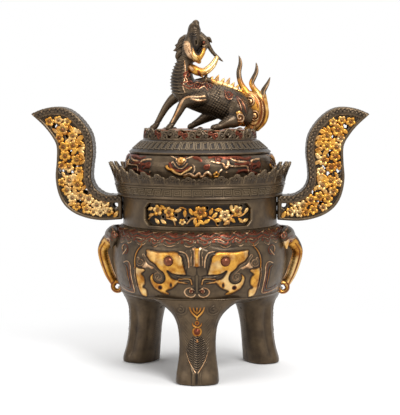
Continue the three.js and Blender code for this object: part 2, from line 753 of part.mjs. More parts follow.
function buildBeast() {
  const bodySpace = torso(SEAT);
  const lidSpace = domeSolid(SEAT);
  place("beast_torso", geometryOf(torso().subtract(lidSpace)), finish.bronze);
  Object.keys(hooves).forEach((name) => {
    const [x, y] = hooves[name];
    const ground = domeZ(Math.hypot(x, y));
    const hole = cylinder(hoofRivet.r + PIN_FIT, ground - 5, ground + hoofRivet.depth + 1, 8).translate([x, y, 0]);
    const shaped = limb(raised(legSections(name)), 8).subtract(bodySpace).subtract(lidSpace).subtract(hole);
    const biggest = largest(shaped);
    place("beast_leg_" + name, geometryOf(biggest), finish.bronze);
    const start = padZ(x, y) - SEAT;
    const pin = rivet({ ...hoofRivet, length: hoofRivet.depth + ground - start - SEAT });
    place("hoof_rivet_" + name, geometryOf(pin.translate([x, y, start])), finish.bronze);
  });
  const head = headSolid().subtract(bodySpace);
  const jaw = limb(raised([[-14, -13, 102, 4], [-8, -19, 95, 8.5, 1.2], [-5, -20, 85, 6, 1.2], [-4, -18, 79, 2.5]]), 9);
  place("beast_head", geometryOf(head), finish.bronze);
  const jawShaped = jaw.subtract(headSolid(SEAT)).subtract(bodySpace);
  place("beast_lower_jaw", geometryOf(largest(jawShaped)), finish.gilt);
  const horn = hornSolid().subtract(headSolid(SEAT));
  place("beast_horn", geometryOf(largest(horn)), finish.bronze);
  const lock = limb(
    raised([[-16, -12, 73, 4], [-4, -13, 68.5, 6], [8, -9, 72, 5.5], [18, -5, 81, 4.6], [21, -4, 87, 3.5]]),
    8,
  );
  const lockShaped = lock.subtract(bodySpace).subtract(hornSolid(SEAT));
  place("beast_mane_lock", geometryOf(largest(lockShaped)), finish.gilt);
  const tail = tailSolid().subtract(bodySpace).subtract(lidSpace);
  place("beast_tail", geometryOf(largest(tail)), finish.gilt);
  const flames = [
    [[61, 0, 41, 3], [56, 0, 51, 3.2], [53, 0, 61, 3], [54, 0, 74, 2.4], [49, 0, 88, 0.9]],
    [[73, 0, 39, 3.2], [69, 0, 52, 3.2], [67, 0, 62, 3], [70, 0, 75, 2.4], [70, 0, 84, 0.9]],
    [[81, 0, 21, 3], [80, 0, 34, 3.2], [79.5, 0, 45, 3], [82, 0, 55, 2.4], [87, 0, 65, 0.9]],
  ];
  flames.forEach((sections, i) => {
    const flame = limb(raised(sections), 7).subtract(tailSolid(SEAT));
    const name = "tail_flame_" + (i + 1);
    place(name, geometryOf(largest(flame)), finish.gilt);
  });
  const ridge = [
    [4, 45], [4, 60], [10, 57], [15, 63], [20, 57], [26, 60], [31, 54], [38, 56], [42, 49], [48, 49], [50, 41],
  ].map(([x, up]) => [x, beastZ + up]);
  const crest = prism(ridge, -6, -2).subtract(bodySpace).subtract(tailSolid(SEAT)).subtract(hornSolid(SEAT));
  place("dorsal_crest", geometryOf(largest(crest)), finish.gilt);
}

buildBowl();
buildEyes();
buildLegs();
buildNeck();
buildWindowPanels();
buildCollar();
buildCrown();
buildHandleFrames();
buildHandlePanels();
buildHandleRivets();
buildElephants();
buildLid();
buildClouds();
buildBeast();

export default burner;
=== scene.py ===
"""Bronze tripod incense burner: finishes, relief and studio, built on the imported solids. Metres, +Z up."""

import json
import math

import bmesh
import bpy
import numpy as np
from mathutils import Matrix, Vector


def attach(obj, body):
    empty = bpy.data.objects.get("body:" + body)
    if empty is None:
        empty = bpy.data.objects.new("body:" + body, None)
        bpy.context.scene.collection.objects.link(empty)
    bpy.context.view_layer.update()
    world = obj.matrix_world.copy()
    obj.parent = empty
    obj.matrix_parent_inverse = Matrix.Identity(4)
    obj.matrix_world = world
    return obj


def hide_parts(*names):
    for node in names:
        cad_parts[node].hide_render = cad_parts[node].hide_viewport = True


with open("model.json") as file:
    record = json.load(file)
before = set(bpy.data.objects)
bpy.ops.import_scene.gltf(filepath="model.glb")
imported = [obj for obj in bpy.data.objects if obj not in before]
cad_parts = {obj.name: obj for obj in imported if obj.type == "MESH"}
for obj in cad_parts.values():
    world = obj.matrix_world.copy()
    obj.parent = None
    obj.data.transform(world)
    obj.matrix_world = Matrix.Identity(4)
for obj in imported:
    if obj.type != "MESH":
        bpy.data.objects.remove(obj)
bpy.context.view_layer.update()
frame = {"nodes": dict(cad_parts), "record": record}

bl_info = {
    "name": "Bronze incense burner",
    "version": (1, 0, 0),
    "blender": (4, 5, 0),
    "location": "View3D > Sidebar > Burner",
    "description": "Builds the finishes, the relief and the studio of a bronze incense burner",
    "category": "Object",
}

MM = 0.001
VESSEL = "vessel"
LID = "lid"
FAR = 9.0
AREAS = ("gilt", "copper", "light")


def measure(label, text, default, **kind):
    return bpy.props.FloatProperty(name=label, description=text, default=default, **kind)


def shade(label, text, default):
    return bpy.props.StringProperty(name=label, description=f"{text}, sRGB hex", default=default)


class BurnerSizes(bpy.types.PropertyGroup):
    """Sizes of the relief."""

    plate_lift: measure("Plate lift", "How far the mask's gilt plates stand proud, in millimetres", 1.1)
    line_lift: measure("Line lift", "How far the drawn lines stand proud, in millimetres", 0.9)
    mesh_step: measure("Mesh step", "Distance between the points of the relief, in millimetres", 0.88)


class BurnerFinish(bpy.types.PropertyGroup):
    """Colours of the finishes."""

    bronze: shade("Bronze", "Olive-brown patina", "604F3A")
    umber: shade("Umber", "Darker patches of the patina", "3A2E22")
    # the colour of the soot and painted shade that darken the hollows
    hollow_soot_and_shade: shade("Hollow", "Soot in the hollows", "1A1410")
    gilt: shade("Gilt", "Fire gilding", "DDA548")
    # also the lighter end of the painted shade along the gilt plates' edges
    gilt_deep: shade("Deep gilt", "Thin, redder gilding", "94591C")
    copper: shade("Copper", "Copper-red patina", "7A3A22")
    copper_dark: shade("Dark copper", "Darker red", "4A2118")
    light: shade("Light", "Worn creamy gilding of lines", "DDBB94")
    pale: shade("Pale", "Pale worn gilding of the tusks", "D8C3A0")


class BurnerStudio(bpy.types.PropertyGroup):
    """Place and lens of the camera."""

    distance: measure("Distance", "Camera to the burner's axis", 1.612, unit="LENGTH", subtype="DISTANCE")
    height: measure("Height", "Camera above the ground", 0.335, unit="LENGTH", subtype="DISTANCE")
    turn: measure("Turn", "Camera's angle from the front", math.radians(2.0), subtype="ANGLE")
    lens: measure("Lens", "Focal length in millimetres", 112.0)


def linear(text):
    """sRGB hex to linear, with alpha."""
    parts = [int(text[i:i + 2], 16) / 255 for i in (0, 2, 4)]
    return tuple(c / 12.92 if c <= 0.04045 else ((c + 0.055) / 1.055) ** 2.4 for c in parts) + (1.0,)


def add(tree, kind, inputs=None, **settings):
    """Adds a node; an input's value may be a constant or another node's output socket."""
    node = tree.nodes.new(kind)
    for key, value in settings.items():
        setattr(node, key, value)
    for key, value in (inputs or {}).items():
        if isinstance(value, bpy.types.NodeSocket):
            tree.links.new(value, node.inputs[key])
        else:
            node.inputs[key].default_value = value
    return node


# Paths and areas of the ornament, in millimetres


def smooth_path(points, steps=5, closed=False):
    """A rounded path through the points (Catmull-Rom)."""
    points = np.asarray(points, float)
    if closed:
        points = np.vstack([points[-1], points, points[:2]])
    else:
        points = np.vstack([2 * points[0] - points[1], points, 2 * points[-1] - points[-2]])
    parts = []
    for a, b, c, d in zip(points, points[1:], points[2:], points[3:]):
        for t in np.arange(steps) / steps:
            bend, twist = 2 * a - 5 * b + 4 * c - d, 3 * b - a - 3 * c + d
            parts.append(0.5 * (2 * b + (c - a) * t + bend * t * t + twist * t ** 3))
    if not closed:
        parts.append(points[-2])
    return np.array(parts)


def spiral(centre, radius, turns, start=0.0, hand=1, inner=0.12):
    """A flat spiral that winds inwards from its rim; start in degrees."""
    count = max(int(abs(turns) * 16), 6)
    t = np.linspace(0, 1, count)
    angle = math.radians(start) + hand * 2 * math.pi * turns * t
    r = radius * (1 - (1 - inner) * t)
    return np.stack([centre[0] + r * np.cos(angle), centre[1] + r * np.sin(angle)], -1)


def rise(t):
    t = np.clip(t, 0, 1)
    return t * t * (3 - 2 * t)


def path_distance(at, points, closed=False, reach=FAR):
    """Distance from each place to a path, and how far along the path the nearest point lies, 0 to 1."""
    best = np.full(len(at), reach * reach)
    along = np.zeros(len(at))
    ends = np.roll(points, -1, 0) if closed else points[1:]
    starts = points if closed else points[:-1]
    lengths = np.linalg.norm(ends - starts, axis=1)
    total = max(lengths.sum(), 1e-9)
    run = 0.0
    for a, b, length in zip(starts, ends, lengths):
        if length < 1e-9:
            continue
        way = (b - a) / length
        t = np.clip((at - a) @ way, 0, length)
        gap = at - a - t[:, None] * way
        square = (gap * gap).sum(1)
        closer = square < best
        best[closer] = square[closer]
        along[closer] = (run + t[closer]) / total
        run += length
    return np.sqrt(best), along


def rounded(points, smooth=True, closed=False):
    return smooth_path(points, 4, closed) if smooth else np.asarray(points, float)


def inside(at, points):
    """Whether each place lies inside a closed outline."""
    x, y = at.T
    result = np.zeros(len(at), bool)
    for (ax, ay), (bx, by) in zip(points, np.roll(points, -1, 0)):
        if ay != by:
            result ^= ((ay > y) != (by > y)) & (x < (bx - ax) * (y - ay) / (by - ay) + ax)
    return result


def signed_distance(at, points, reach=FAR):
    """Distance from each place to a closed outline, negative inside it."""
    distance, _ = path_distance(at, points, True, reach)
    distance[inside(at, points)] *= -1
    return distance


class Relief:
    """Heights and coloured areas of an ornament on flat places, all in millimetres."""

    def __init__(self, across, up, depth=None):
        self.at = np.stack([across, up], -1)
        self.depth = depth
        # soot and painted shade, added to the darkening of the hollows
        self.height, self.soot_and_shade = np.zeros(len(across)), np.zeros(len(across))
        self.extent = np.full(len(across), FAR)
        self.areas = {name: np.full(len(across), FAR) for name in AREAS}

    def near(self, points, reach):
        low, high = points.min(0) - reach, points.max(0) + reach
        return np.nonzero(((self.at > low) & (self.at < high)).all(1))[0]

    def put(self, index, distance, lift, edge, finish):
        """Raises or sinks an area given by signed distances, and gives it a finish; "bare" takes them away."""
        step = rise(-distance / edge)
        if lift >= 0:
            self.height[index] = np.maximum(self.height[index], lift * step)
            self.extent[index] = np.minimum(self.extent[index], distance)
        else:
            self.height[index] += lift * step
        for name, area in self.areas.items():
            if name == finish:
                area[index] = np.minimum(area[index], distance)
            elif finish is not None:
                area[index] = np.maximum(area[index], -distance)

    def plate(self, points, lift, edge=1.2, finish=None, smooth=True):
        points = rounded(points, smooth, True)
        index = self.near(points, 3.0)
        if len(index):
            self.put(index, signed_distance(self.at[index], points), lift, edge, finish)

    def stroke(self, points, width, lift, finish=None, start=1, end=1, smooth=True, edge=None, groove=0.0):
        """A line; start and end are its widths there, as shares of the width in its middle."""
        points = rounded(points, smooth)
        index = self.near(points, width + 3.0)
        if len(index):
            gap, along = path_distance(self.at[index], points)
            half = width / 2 * np.interp(along, [0, 0.5, 1], [start, 1, end])
            self.put(index, gap - half, lift, edge or width / 2, finish)
            if groove:
                self.height[index] -= groove * rise(1 - gap / (width * 0.28))

    def pairs(self, *rows):
        """Strokes on the right, and their mirror images on the left."""
        for points, *rest in rows:
            for side in (-1, 1):
                self.stroke(np.array(points) * (side, 1), *rest)

    def strokes(self, *rows):
        """Several lines, each from a row of arguments."""
        for row in rows:
            self.stroke(*row)

    def dot(self, centre, radius, lift, finish=None, squash=(1, 1)):
        at = (self.at - centre) / squash
        index = np.nonzero((np.abs(at) < radius + 3).all(1))[0]
        if len(index):
            self.put(index, np.linalg.norm(at[index], axis=1) - radius, lift, radius * 0.8, finish)

    def cut(self, points):
        """Takes a closed outline out of the extent."""
        self.extent = np.maximum(self.extent, -signed_distance(self.at, rounded(points, closed=True)))

    def only(self, here):
        """Takes the finishes away from every other place."""
        for name, area in self.areas.items():
            self.areas[name] = np.where(here, area, FAR)

    def copy_at(self, shown):
        """The same ornament at other corners; -1 is a place without any."""
        result = Relief(*self.at[shown].T)
        blank = shown < 0
        result.soot_and_shade = np.where(blank, 0, self.soot_and_shade[shown])
        result.areas = {name: np.where(blank, FAR, area[shown]) for name, area in self.areas.items()}
        return result


def blurred(height, rows, columns, reach):
    """Mean height over a square of grid points, round the turn and along the profile."""
    grid = height.reshape(rows, columns)
    for axis in (0, 1):
        total = np.zeros_like(grid)
        for shift in range(-reach, reach + 1):
            if axis == 1:
                total += np.roll(grid, shift, 1)
            else:
                total += grid[np.clip(np.arange(rows) + shift, 0, rows - 1)]
        grid = total / (2 * reach + 1)
    return grid.ravel()


# Meshes


def along_profile(points, step):
    """The profile's corners and points between them no further apart than the step."""
    points = np.asarray(points, float)
    result = []
    for a, b in zip(points, points[1:]):
        count = max(int(math.ceil(np.linalg.norm(b - a) / step)), 1)
        result += [a + (b - a) * t for t in np.arange(count) / count]
    result.append(points[-1])
    return np.array(result)


def turned_faces(rows, columns, first_pole, last_pole, closed=False):
    """Faces of a turned skin whose rows run from the underside outwards and up."""
    faces = []
    last = rows if closed else rows - 1
    for row in range(last):
        a, b = row * columns, ((row + 1) % rows) * columns
        for column in range(columns):
            after = (column + 1) % columns
            faces.append((a + column, a + after, b + after, b + column))
    if first_pole is not None:
        faces += [(first_pole, (column + 1) % columns, column) for column in range(columns)]
    if last_pole is not None:
        top = (rows - 1) * columns
        faces += [(last_pole, top + column, top + (column + 1) % columns) for column in range(columns)]
    return faces


def mesh_of(work, name):
    """A mesh from a bmesh, which is freed."""
    mesh = bpy.data.meshes.new(name)
    work.to_mesh(mesh)
    work.free()
    return mesh


def move_corners(mesh, at):
    mesh.vertices.foreach_set("co", (at * MM).ravel())
    mesh.update()


def paint_areas(mesh, relief, cavity):
    """Stores the finishes' signed distances, sharpened again in the material, and the soot and painted shade
    of the hollows.
    """
    values = np.zeros((len(mesh.vertices), 4), np.float32)
    values[:len(cavity), :3] = np.clip(0.5 - np.stack([relief.areas[name] for name in AREAS], -1) / 4, 0, 1)
    values[:len(cavity), 3] = np.clip(cavity, 0, 1)
    mesh.attributes.new("areas", "FLOAT_COLOR", "POINT").data.foreach_set("color", values.ravel())


def around(columns, profile):
    """Angles, with 0 at the front, and the radii and heights of a turned grid."""
    turn = np.tile(np.arange(columns) / columns * 2 * math.pi, len(profile))
    return turn, np.repeat(profile[:, 0], columns), np.repeat(profile[:, 1], columns)


def round_axis(turn, r, z):
    return np.stack([r * np.sin(turn), -r * np.cos(turn), z], -1)


def turned_piece(name, outer, inner, columns, draw, body, material, replaced, holes=()):
    """A turned shell: a relief drawn on the outer profile, a plain inner profile back to the start.

    Profiles are lists of (radius, height). If the inner one ends on the axis, a pole closes each of the two.
    """
    outer, inner = np.asarray(outer, float), np.asarray(inner, float)
    slope = np.gradient(outer, axis=0)
    normal = np.stack([slope[:, 1], -slope[:, 0]], -1)
    normal /= np.maximum(np.linalg.norm(normal, axis=1), 1e-9)[:, None]
    turn, r, z = around(columns, outer)
    out_r, out_z = np.repeat(normal, columns, 0).T
    relief = draw(turn, r, z)
    # the hollows of the relief darken with soot and painted shade
    cavity = (blurred(relief.height, len(outer), columns, 3) - relief.height) / 0.45
    places = [round_axis(turn, r + out_r * relief.height, z + out_z * relief.height)]
    closed = inner[-1][0] != 0
    back = inner if closed else inner[:-1]
    places.append(round_axis(*around(columns, back)))
    rows = len(outer) + len(back)
    poles = (None, None)
    if not closed:
        places.append(np.array([[0, 0, outer[0][1]], [0, 0, inner[-1][1]]]))
        poles = (rows * columns, rows * columns + 1)
    mesh = raw_mesh(name, np.vstack(places), turned_faces(rows, columns, *poles, closed))
    paint_areas(mesh, relief, cavity + relief.soot_and_shade)
    placed(name, bored(mesh, holes) if holes else mesh, body, material, replaced)


# Castings: round bars joined under one skin, then drawn on


def bar(stations, steps=6, sides=18, side=(0.0, 1.0, 0.0)):
    """A closed round bar with rounded ends through stations (x, y, z, radius, width ratio) in millimetres."""
    stations = np.array([(*s, 1.0) if len(s) == 4 else s for s in stations], float)
    line = smooth_path(stations, steps)
    centre, radius, ratio = line[:, :3], np.maximum(line[:, 3], 0.15), line[:, 4]
    way = np.gradient(centre, axis=0)
    way /= np.linalg.norm(way, axis=1)[:, None]
    caps = [(math.sin(a), math.cos(a)) for a in (0.35, 0.8, 1.25)]
    ends = []
    for end, sign in ((0, -1), (-1, 1)):
        out = sign * way[end] * radius[end]
        ends.append(
            [
                (centre[end] + out * reach, way[end], radius[end] * shrink, ratio[end])
                for reach, shrink in caps
            ]
        )
    rings = [*reversed(ends[0]), *zip(centre, way, radius, ratio), *ends[1]]
    turn = np.arange(sides) / sides * 2 * math.pi
    vertices = []
    for middle, along, r, wide in rings:
        across = np.array(side) - np.dot(side, along) * along
        across /= np.linalg.norm(across)
        other = np.cross(along, across)
        vertices.append(
            middle + np.outer(np.cos(turn), across) * r * wide + np.outer(np.sin(turn), other) * r
        )
    vertices.append([centre[0] - way[0] * radius[0], centre[-1] + way[-1] * radius[-1]])
    count = len(rings) * sides
    return np.vstack(vertices), turned_faces(len(rings), sides, count, count + 1)


def joined(parts):
    """Several lots of vertices and faces as one."""
    vertices, faces, start = [], [], 0
    for points, sides in parts:
        vertices.append(np.asarray(points, float))
        faces += [tuple(index + start for index in face) for face in sides]
        start += len(points)
    return np.vstack(vertices), faces


def corner_table(mesh):
    """Vertex places in millimetres, normals and edges of a mesh, as arrays."""
    count = len(mesh.vertices)
    at = np.empty(count * 3)
    mesh.vertices.foreach_get("co", at)
    normal = np.empty(count * 3, np.float32)
    mesh.vertex_normals.foreach_get("vector", normal)
    edges = np.empty(len(mesh.edges) * 2, np.int32)
    mesh.edges.foreach_get("vertices", edges)
    return at.reshape(-1, 3) / MM, normal.reshape(-1, 3).astype(float), edges.reshape(-1, 2)


def evened(values, edges, rounds, weight=1.0):
    """Each value moved towards the mean of its neighbours, a number of times."""
    a, b = edges[:, 0], edges[:, 1]
    count = len(values)
    degree = np.maximum(np.bincount(a, minlength=count) + np.bincount(b, minlength=count), 1)
    values = np.array(values, float)
    for _ in range(rounds):
        columns = []
        for column in values.T:
            total = np.bincount(a, column[b], count) + np.bincount(b, column[a], count)
            columns.append(column + weight * (total / degree - column))
        values = np.stack(columns, -1)
    return values


def hollows(mesh, at, edges, rounds, depth=0.55):
    """How far each corner lies below the evened surface, as a share of the depth that fills with soot and
    painted shade.
    """
    return ((evened(at, edges, rounds) - at) * corner_table(mesh)[1]).sum(1) / depth


def drawn(mesh, draw, foot=0.0):
    """Raises the drawing's relief along the normals, and stores its finishes and the soot and painted shade of
    the hollows.
    """
    at, normal, edges = corner_table(mesh)
    relief = Relief(at[:, 0], at[:, 2] - foot, at[:, 1])
    draw(relief)
    at = at + normal * relief.height[:, None]
    move_corners(mesh, at)
    paint_areas(mesh, relief, hollows(mesh, at, edges, 10) + relief.soot_and_shade)


def skinned(name, parts, voxel, rounds):
    """One closed skin round overlapping closed parts, evened a little."""
    carrier = linked(name + "_rough", raw_mesh(name + "_rough", *joined(parts)))
    remesh = carrier.modifiers.new("skin", "REMESH")
    remesh.mode = "VOXEL"
    remesh.voxel_size = voxel * MM
    mesh = plain_mesh(carrier)
    at, _, edges = corner_table(mesh)
    move_corners(mesh, evened(at, edges, rounds, 0.6))
    return mesh


def plain_mesh(carrier):
    """The evaluated mesh of an object that was only needed to make it."""
    graph = bpy.context.evaluated_depsgraph_get()
    graph.update()
    mesh = bpy.data.meshes.new_from_object(carrier.evaluated_get(graph))
    bpy.data.objects.remove(carrier)
    return mesh


def placed(name, mesh, body, material, replaced=(), smooth=True):
    """A finished piece, riding on its body, from a mesh that is already in metres and in place."""
    mesh.name = name
    piece = linked(name, mesh)
    mesh.materials.clear()
    mesh.materials.append(material)
    for key, value in (("use_smooth", smooth), ("material_index", 0)):
        mesh.polygons.foreach_set(key, [value] * len(mesh.polygons))
    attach(piece, body)
    if replaced:
        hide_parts(*replaced)


def casting(name, parts, draw, replaced, voxel, rounds=4, key="bronze"):
    """A casting on the lid, drawn on from the front."""
    mesh = skinned(name, parts, voxel, rounds)
    drawn(mesh, draw, BEAST_Z)
    placed(name, mesh, LID, finish(key), replaced)


def bored(mesh, holes):
    """A closed mesh with upright round holes (x, y, radius, low, high), in millimetres, cut through it."""
    work = bmesh.new()
    for x, y, radius, low, high in holes:
        middle = Matrix.Translation(Vector((x, y, (low + high) / 2)) * MM)
        size = {"radius1": radius * MM, "radius2": radius * MM, "depth": (high - low) * MM}
        bmesh.ops.create_cone(work, cap_ends=True, segments=28, matrix=middle, **size)
    drill, carrier = linked("drills", mesh_of(work, "drills")), linked("carrier", mesh)
    modifier = carrier.modifiers.new("holes", "BOOLEAN")
    modifier.operation, modifier.solver, modifier.object = "DIFFERENCE", "MANIFOLD", drill
    uncut = len(mesh.vertices)
    result = plain_mesh(carrier)
    bpy.data.objects.remove(drill)
    if len(result.vertices) <= uncut or "areas" not in result.attributes:
        raise RuntimeError(f"the holes in {mesh.name} weren't cut")
    result.set_sharp_from_angle(angle=math.radians(70))
    return result


def scale_pattern(across, up, pitch):
    """Depth, 0 to 1, of the lines of overlapping scales; their rows run across."""
    row = np.floor(up / pitch * 2)
    depth = np.zeros(len(across))
    for step in (0, 1):
        level = row + step
        middle = (np.round(across / pitch - 0.5 * (level % 2)) + 0.5 * (level % 2)) * pitch
        reach = np.hypot(across - middle, up - level * pitch / 2 - pitch * 0.1)
        low = up < level * pitch / 2 + pitch * 0.12
        depth = np.maximum(depth, np.where(low, rise(1 - np.abs(reach / pitch - 0.46) / 0.13), 0))
    return depth


# Sheets cut to a drawing, and ornament that repeats


def thick_sheet(keep, wrap, rows_back=1):
    """Faces of a sheet's kept cells, front and back, walled round every edge.

    Corners are numbered row by row, the front's first. The walls step through rows_back lots of corners, and
    the last lot is the back.
    """
    high, wide = keep.shape
    columns = wide if wrap else wide + 1
    lot = (high + 1) * columns
    i, j = np.nonzero(keep)
    a, b = i * columns + j, i * columns + (j + 1) % columns
    c, d = b + columns, a + columns
    back = lot * rows_back
    faces = [np.stack([a, b, c, d], -1), np.stack([d, c, b, a], -1) + back]
    for (down, over), p, q in (((-1, 0), a, b), ((0, 1), b, c), ((1, 0), c, d), ((0, -1), d, a)):
        row, column = i + down, j + over
        out = (row < 0) | (row >= high)
        column = column % wide if wrap else column
        out |= (column < 0) | (column >= wide)
        bare_edge = out | ~keep[np.clip(row, 0, high - 1), np.clip(column, 0, wide - 1)]
        p, q = p[bare_edge], q[bare_edge]
        for level in range(rows_back):
            near, far = level * lot, (level + 1) * lot
            faces.append(np.stack([q + near, p + near, p + far, q + far], -1))
    return np.vstack(faces)


def packed(vertices, faces):
    """Only the corners that the faces use; also which they are."""
    used, faces = np.unique(faces, return_inverse=True)
    return vertices[used], faces.reshape(-1, 4).tolist(), used


def cells_at_corners(padded):
    """How many kept cells meet at each corner."""
    cells = padded.astype(int)
    return cells[1:, 1:] + cells[1:, :-1] + cells[:-1, 1:] + cells[:-1, :-1]


def snapped(across, up, distance, kept, step):
    """Grid places drawn onto the contour along the cut edge; kept is how many kept cells meet at each."""
    slope_up, slope_across = np.gradient(distance, step)
    steep = np.maximum(slope_up ** 2 + slope_across ** 2, 0.25)
    shift = np.where((kept > 0) & (kept < 4), np.clip(distance, -0.8 * step, 0.8 * step) / steep, 0)
    return (across - shift * slope_across).ravel(), (up - shift * slope_up).ravel()


def without_touching_corners(keep):
    """Fills a cell wherever two kept cells meet at a corner only."""
    for _ in range(3):
        keep[1:, :-1] |= keep[1:, 1:] & keep[:-1, :-1] & ~keep[:-1, 1:]
        keep[1:, 1:] |= keep[1:, :-1] & keep[:-1, 1:] & ~keep[:-1, :-1]
    return keep


def pierced(draw, low, high, step, thickness, place, both=False, levels=1, wall_relief=None):
    """A sheet cut to the drawing's extent, raised by its relief and put in place by a function.

    The function takes (across, up, out). Returns vertices, faces, the relief and which of its places each
    vertex shows, -1 on the walls and the back.
    """
    columns, rows = (np.arange(start, end + step, step) for start, end in zip(low, high))
    across, up = np.meshgrid(columns, rows)
    relief = Relief(across.ravel(), up.ravel())
    draw(relief)
    distance = relief.extent.reshape(across.shape)
    middle = (distance[1:, 1:] + distance[:-1, 1:] + distance[1:, :-1] + distance[:-1, :-1]) / 4
    keep = without_touching_corners(middle < 0)
    x, y = snapped(across, up, distance, cells_at_corners(np.pad(keep, 1)), step)
    lift = relief.height
    slope_up, slope_across = np.gradient(distance, step)
    slope = np.maximum(np.hypot(slope_up, slope_across), 0.5)
    slope_up, slope_across = (slope_up / slope).ravel(), (slope_across / slope).ravel()
    lots = []
    for level in range(levels + 1):
        out = thickness * (0.5 - level / levels)
        push = wall_relief(x, y, out) if wall_relief and 0 < level < levels else 0.0
        bulge = lift if level == 0 else -lift if both and level == levels else 0 * lift
        lots.append(np.stack(place(x + push * slope_across, y + push * slope_up, out + bulge), -1))
    vertices, faces, used = packed(np.vstack(lots), thick_sheet(keep, False, levels))
    count = len(lift)
    shown = np.where(used < count, used, used - levels * count if both else -1)
    return vertices, faces, relief, np.where((used >= count) & (used < levels * count), -1, shown)


def sooted_and_shaded(mesh, relief, shown=None, rounds=8, depth=0.55):
    """Stores the finishes of the shown places and the soot and painted shade of the hollows."""
    at, _, edges = corner_table(mesh)
    if shown is None:
        shown = np.arange(len(at))
        shown[len(relief.soot_and_shade):] = -1
    relief = relief.copy_at(shown)
    paint_areas(mesh, relief, hollows(mesh, at, edges, rounds, depth) + relief.soot_and_shade)


def linked(name, data):
    """A new object in the scene."""
    item = bpy.data.objects.new(name, data)
    bpy.context.scene.collection.objects.link(item)
    return item


def raw_mesh(name, vertices, faces):
    """A mesh from places in millimetres."""
    mesh = bpy.data.meshes.new(name)
    mesh.from_pydata((np.asarray(vertices) * MM).tolist(), [], faces)
    mesh.update()
    return mesh


def cut_sheet(name, *settings, **choices):
    """The mesh of a pierced sheet with its finishes."""
    vertices, faces, relief, shown = pierced(*settings, **choices)
    mesh = raw_mesh(name, vertices, faces)
    sooted_and_shaded(mesh, relief, shown)
    return mesh


def on_ring(radius, side=1):
    """Places on a round wall: across is the arc, up the height; side 1 is the front, -1 the rear."""
    def place(across, up, out):
        r = (radius(up) if callable(radius) else radius) + out
        turn = across / (radius(up).mean() if callable(radius) else radius)
        return side * r * np.sin(turn), -side * r * np.cos(turn), up
    return place


def merged(mesh, reach):
    """Joins corners that lie on each other, and turns the normals outwards."""
    work = bmesh.new()
    work.from_mesh(mesh)
    bmesh.ops.remove_doubles(work, verts=work.verts, dist=reach * MM)
    bmesh.ops.dissolve_degenerate(work, edges=work.edges, dist=1e-7)
    bmesh.ops.recalc_face_normals(work, faces=work.faces)
    work.to_mesh(mesh)
    work.free()
    mesh.update()
    return mesh


def node_tree(name, inputs):
    """An empty modifier tree with a geometry input and output and the named inputs."""
    tree = bpy.data.node_groups.new(name, "GeometryNodeTree")
    tree.interface.new_socket("Geometry", in_out="INPUT", socket_type="NodeSocketGeometry")
    for label, kind in inputs:
        tree.interface.new_socket(label, in_out="INPUT", socket_type=kind)
    tree.interface.new_socket("Geometry", in_out="OUTPUT", socket_type="NodeSocketGeometry")
    return tree


def run_tree(tree, mesh, values):
    """The mesh that a modifier tree makes of another, with its inputs set by name."""
    carrier = linked("carrier", mesh)
    modifier = carrier.modifiers.new("nodes", "NODES")
    modifier.node_group = tree
    for socket in tree.interface.items_tree:
        if socket.in_out == "INPUT" and socket.name in values:
            modifier[socket.identifier] = values[socket.name]
    return plain_mesh(carrier)


def math_node(tree, kind, *values):
    return add(tree, "ShaderNodeMath", dict(enumerate(values)), operation=kind).outputs[0]


def ranged(tree, value, start, end, low=0.0, high=1.0):
    """A value taken from one range to another."""
    inputs = {"Value": value, "From Min": start, "From Max": end, "To Min": low, "To Max": high}
    return add(tree, "ShaderNodeMapRange", inputs).outputs["Result"]


def copies_made(tree, given, **inputs):
    """Ends a tree with real, painted copies of a unit on points."""
    copies = add(tree, "GeometryNodeInstanceOnPoints", inputs)
    real = add(tree, "GeometryNodeRealizeInstances", {"Geometry": copies.outputs[0]})
    painted = add(
        tree, "GeometryNodeSetMaterial", {"Geometry": real.outputs[0], "Material": given["Material"]},
    )
    add(tree, "NodeGroupOutput", {"Geometry": painted.outputs[0]})
    return tree


def ring_tree():
    """Copies of a unit, modelled at the front, turned about the axis; their height may swell at the sides."""
    name = "Ring of units"
    if name in bpy.data.node_groups:
        return bpy.data.node_groups[name]
    numbers = [(label, "NodeSocketFloat") for label in ("First angle", "Foot", "Front share")]
    tree = node_tree(name, [("Count", "NodeSocketInt"), *numbers, ("Material", "NodeSocketMaterial")])
    given = add(tree, "NodeGroupInput").outputs
    foot = add(tree, "ShaderNodeCombineXYZ", {"Z": given["Foot"]}).outputs[0]
    stack = {"Count": given["Count"], "Start Location": foot, "Offset": (0, 0, 0)}
    line = add(tree, "GeometryNodeMeshLine", stack, mode="OFFSET", count_mode="TOTAL")
    step = math_node(tree, "DIVIDE", 2 * math.pi, given["Count"])
    index = add(tree, "GeometryNodeInputIndex").outputs[0]
    angle = math_node(tree, "MULTIPLY_ADD", index, step, given["First angle"])
    sideways = math_node(tree, "POWER", math_node(tree, "ABSOLUTE", math_node(tree, "SINE", angle)), 1.6)
    swell = ranged(tree, sideways, 0.0, 1.0, given["Front share"])
    scale = add(tree, "ShaderNodeCombineXYZ", {"X": 1.0, "Y": 1.0, "Z": swell}).outputs[0]
    turn = add(tree, "ShaderNodeCombineXYZ", {"Z": angle}).outputs[0]
    return copies_made(
        tree, given, Points=line.outputs[0], Instance=given["Geometry"], Rotation=turn, Scale=scale,
    )


def ringed(mesh, count, material, first=0.0, foot=0.0, front_share=1.0):
    values = {
        "Count": count, "First angle": first, "Foot": foot * MM, "Front share": front_share,
        "Material": material,
    }
    return run_tree(ring_tree(), mesh, values)


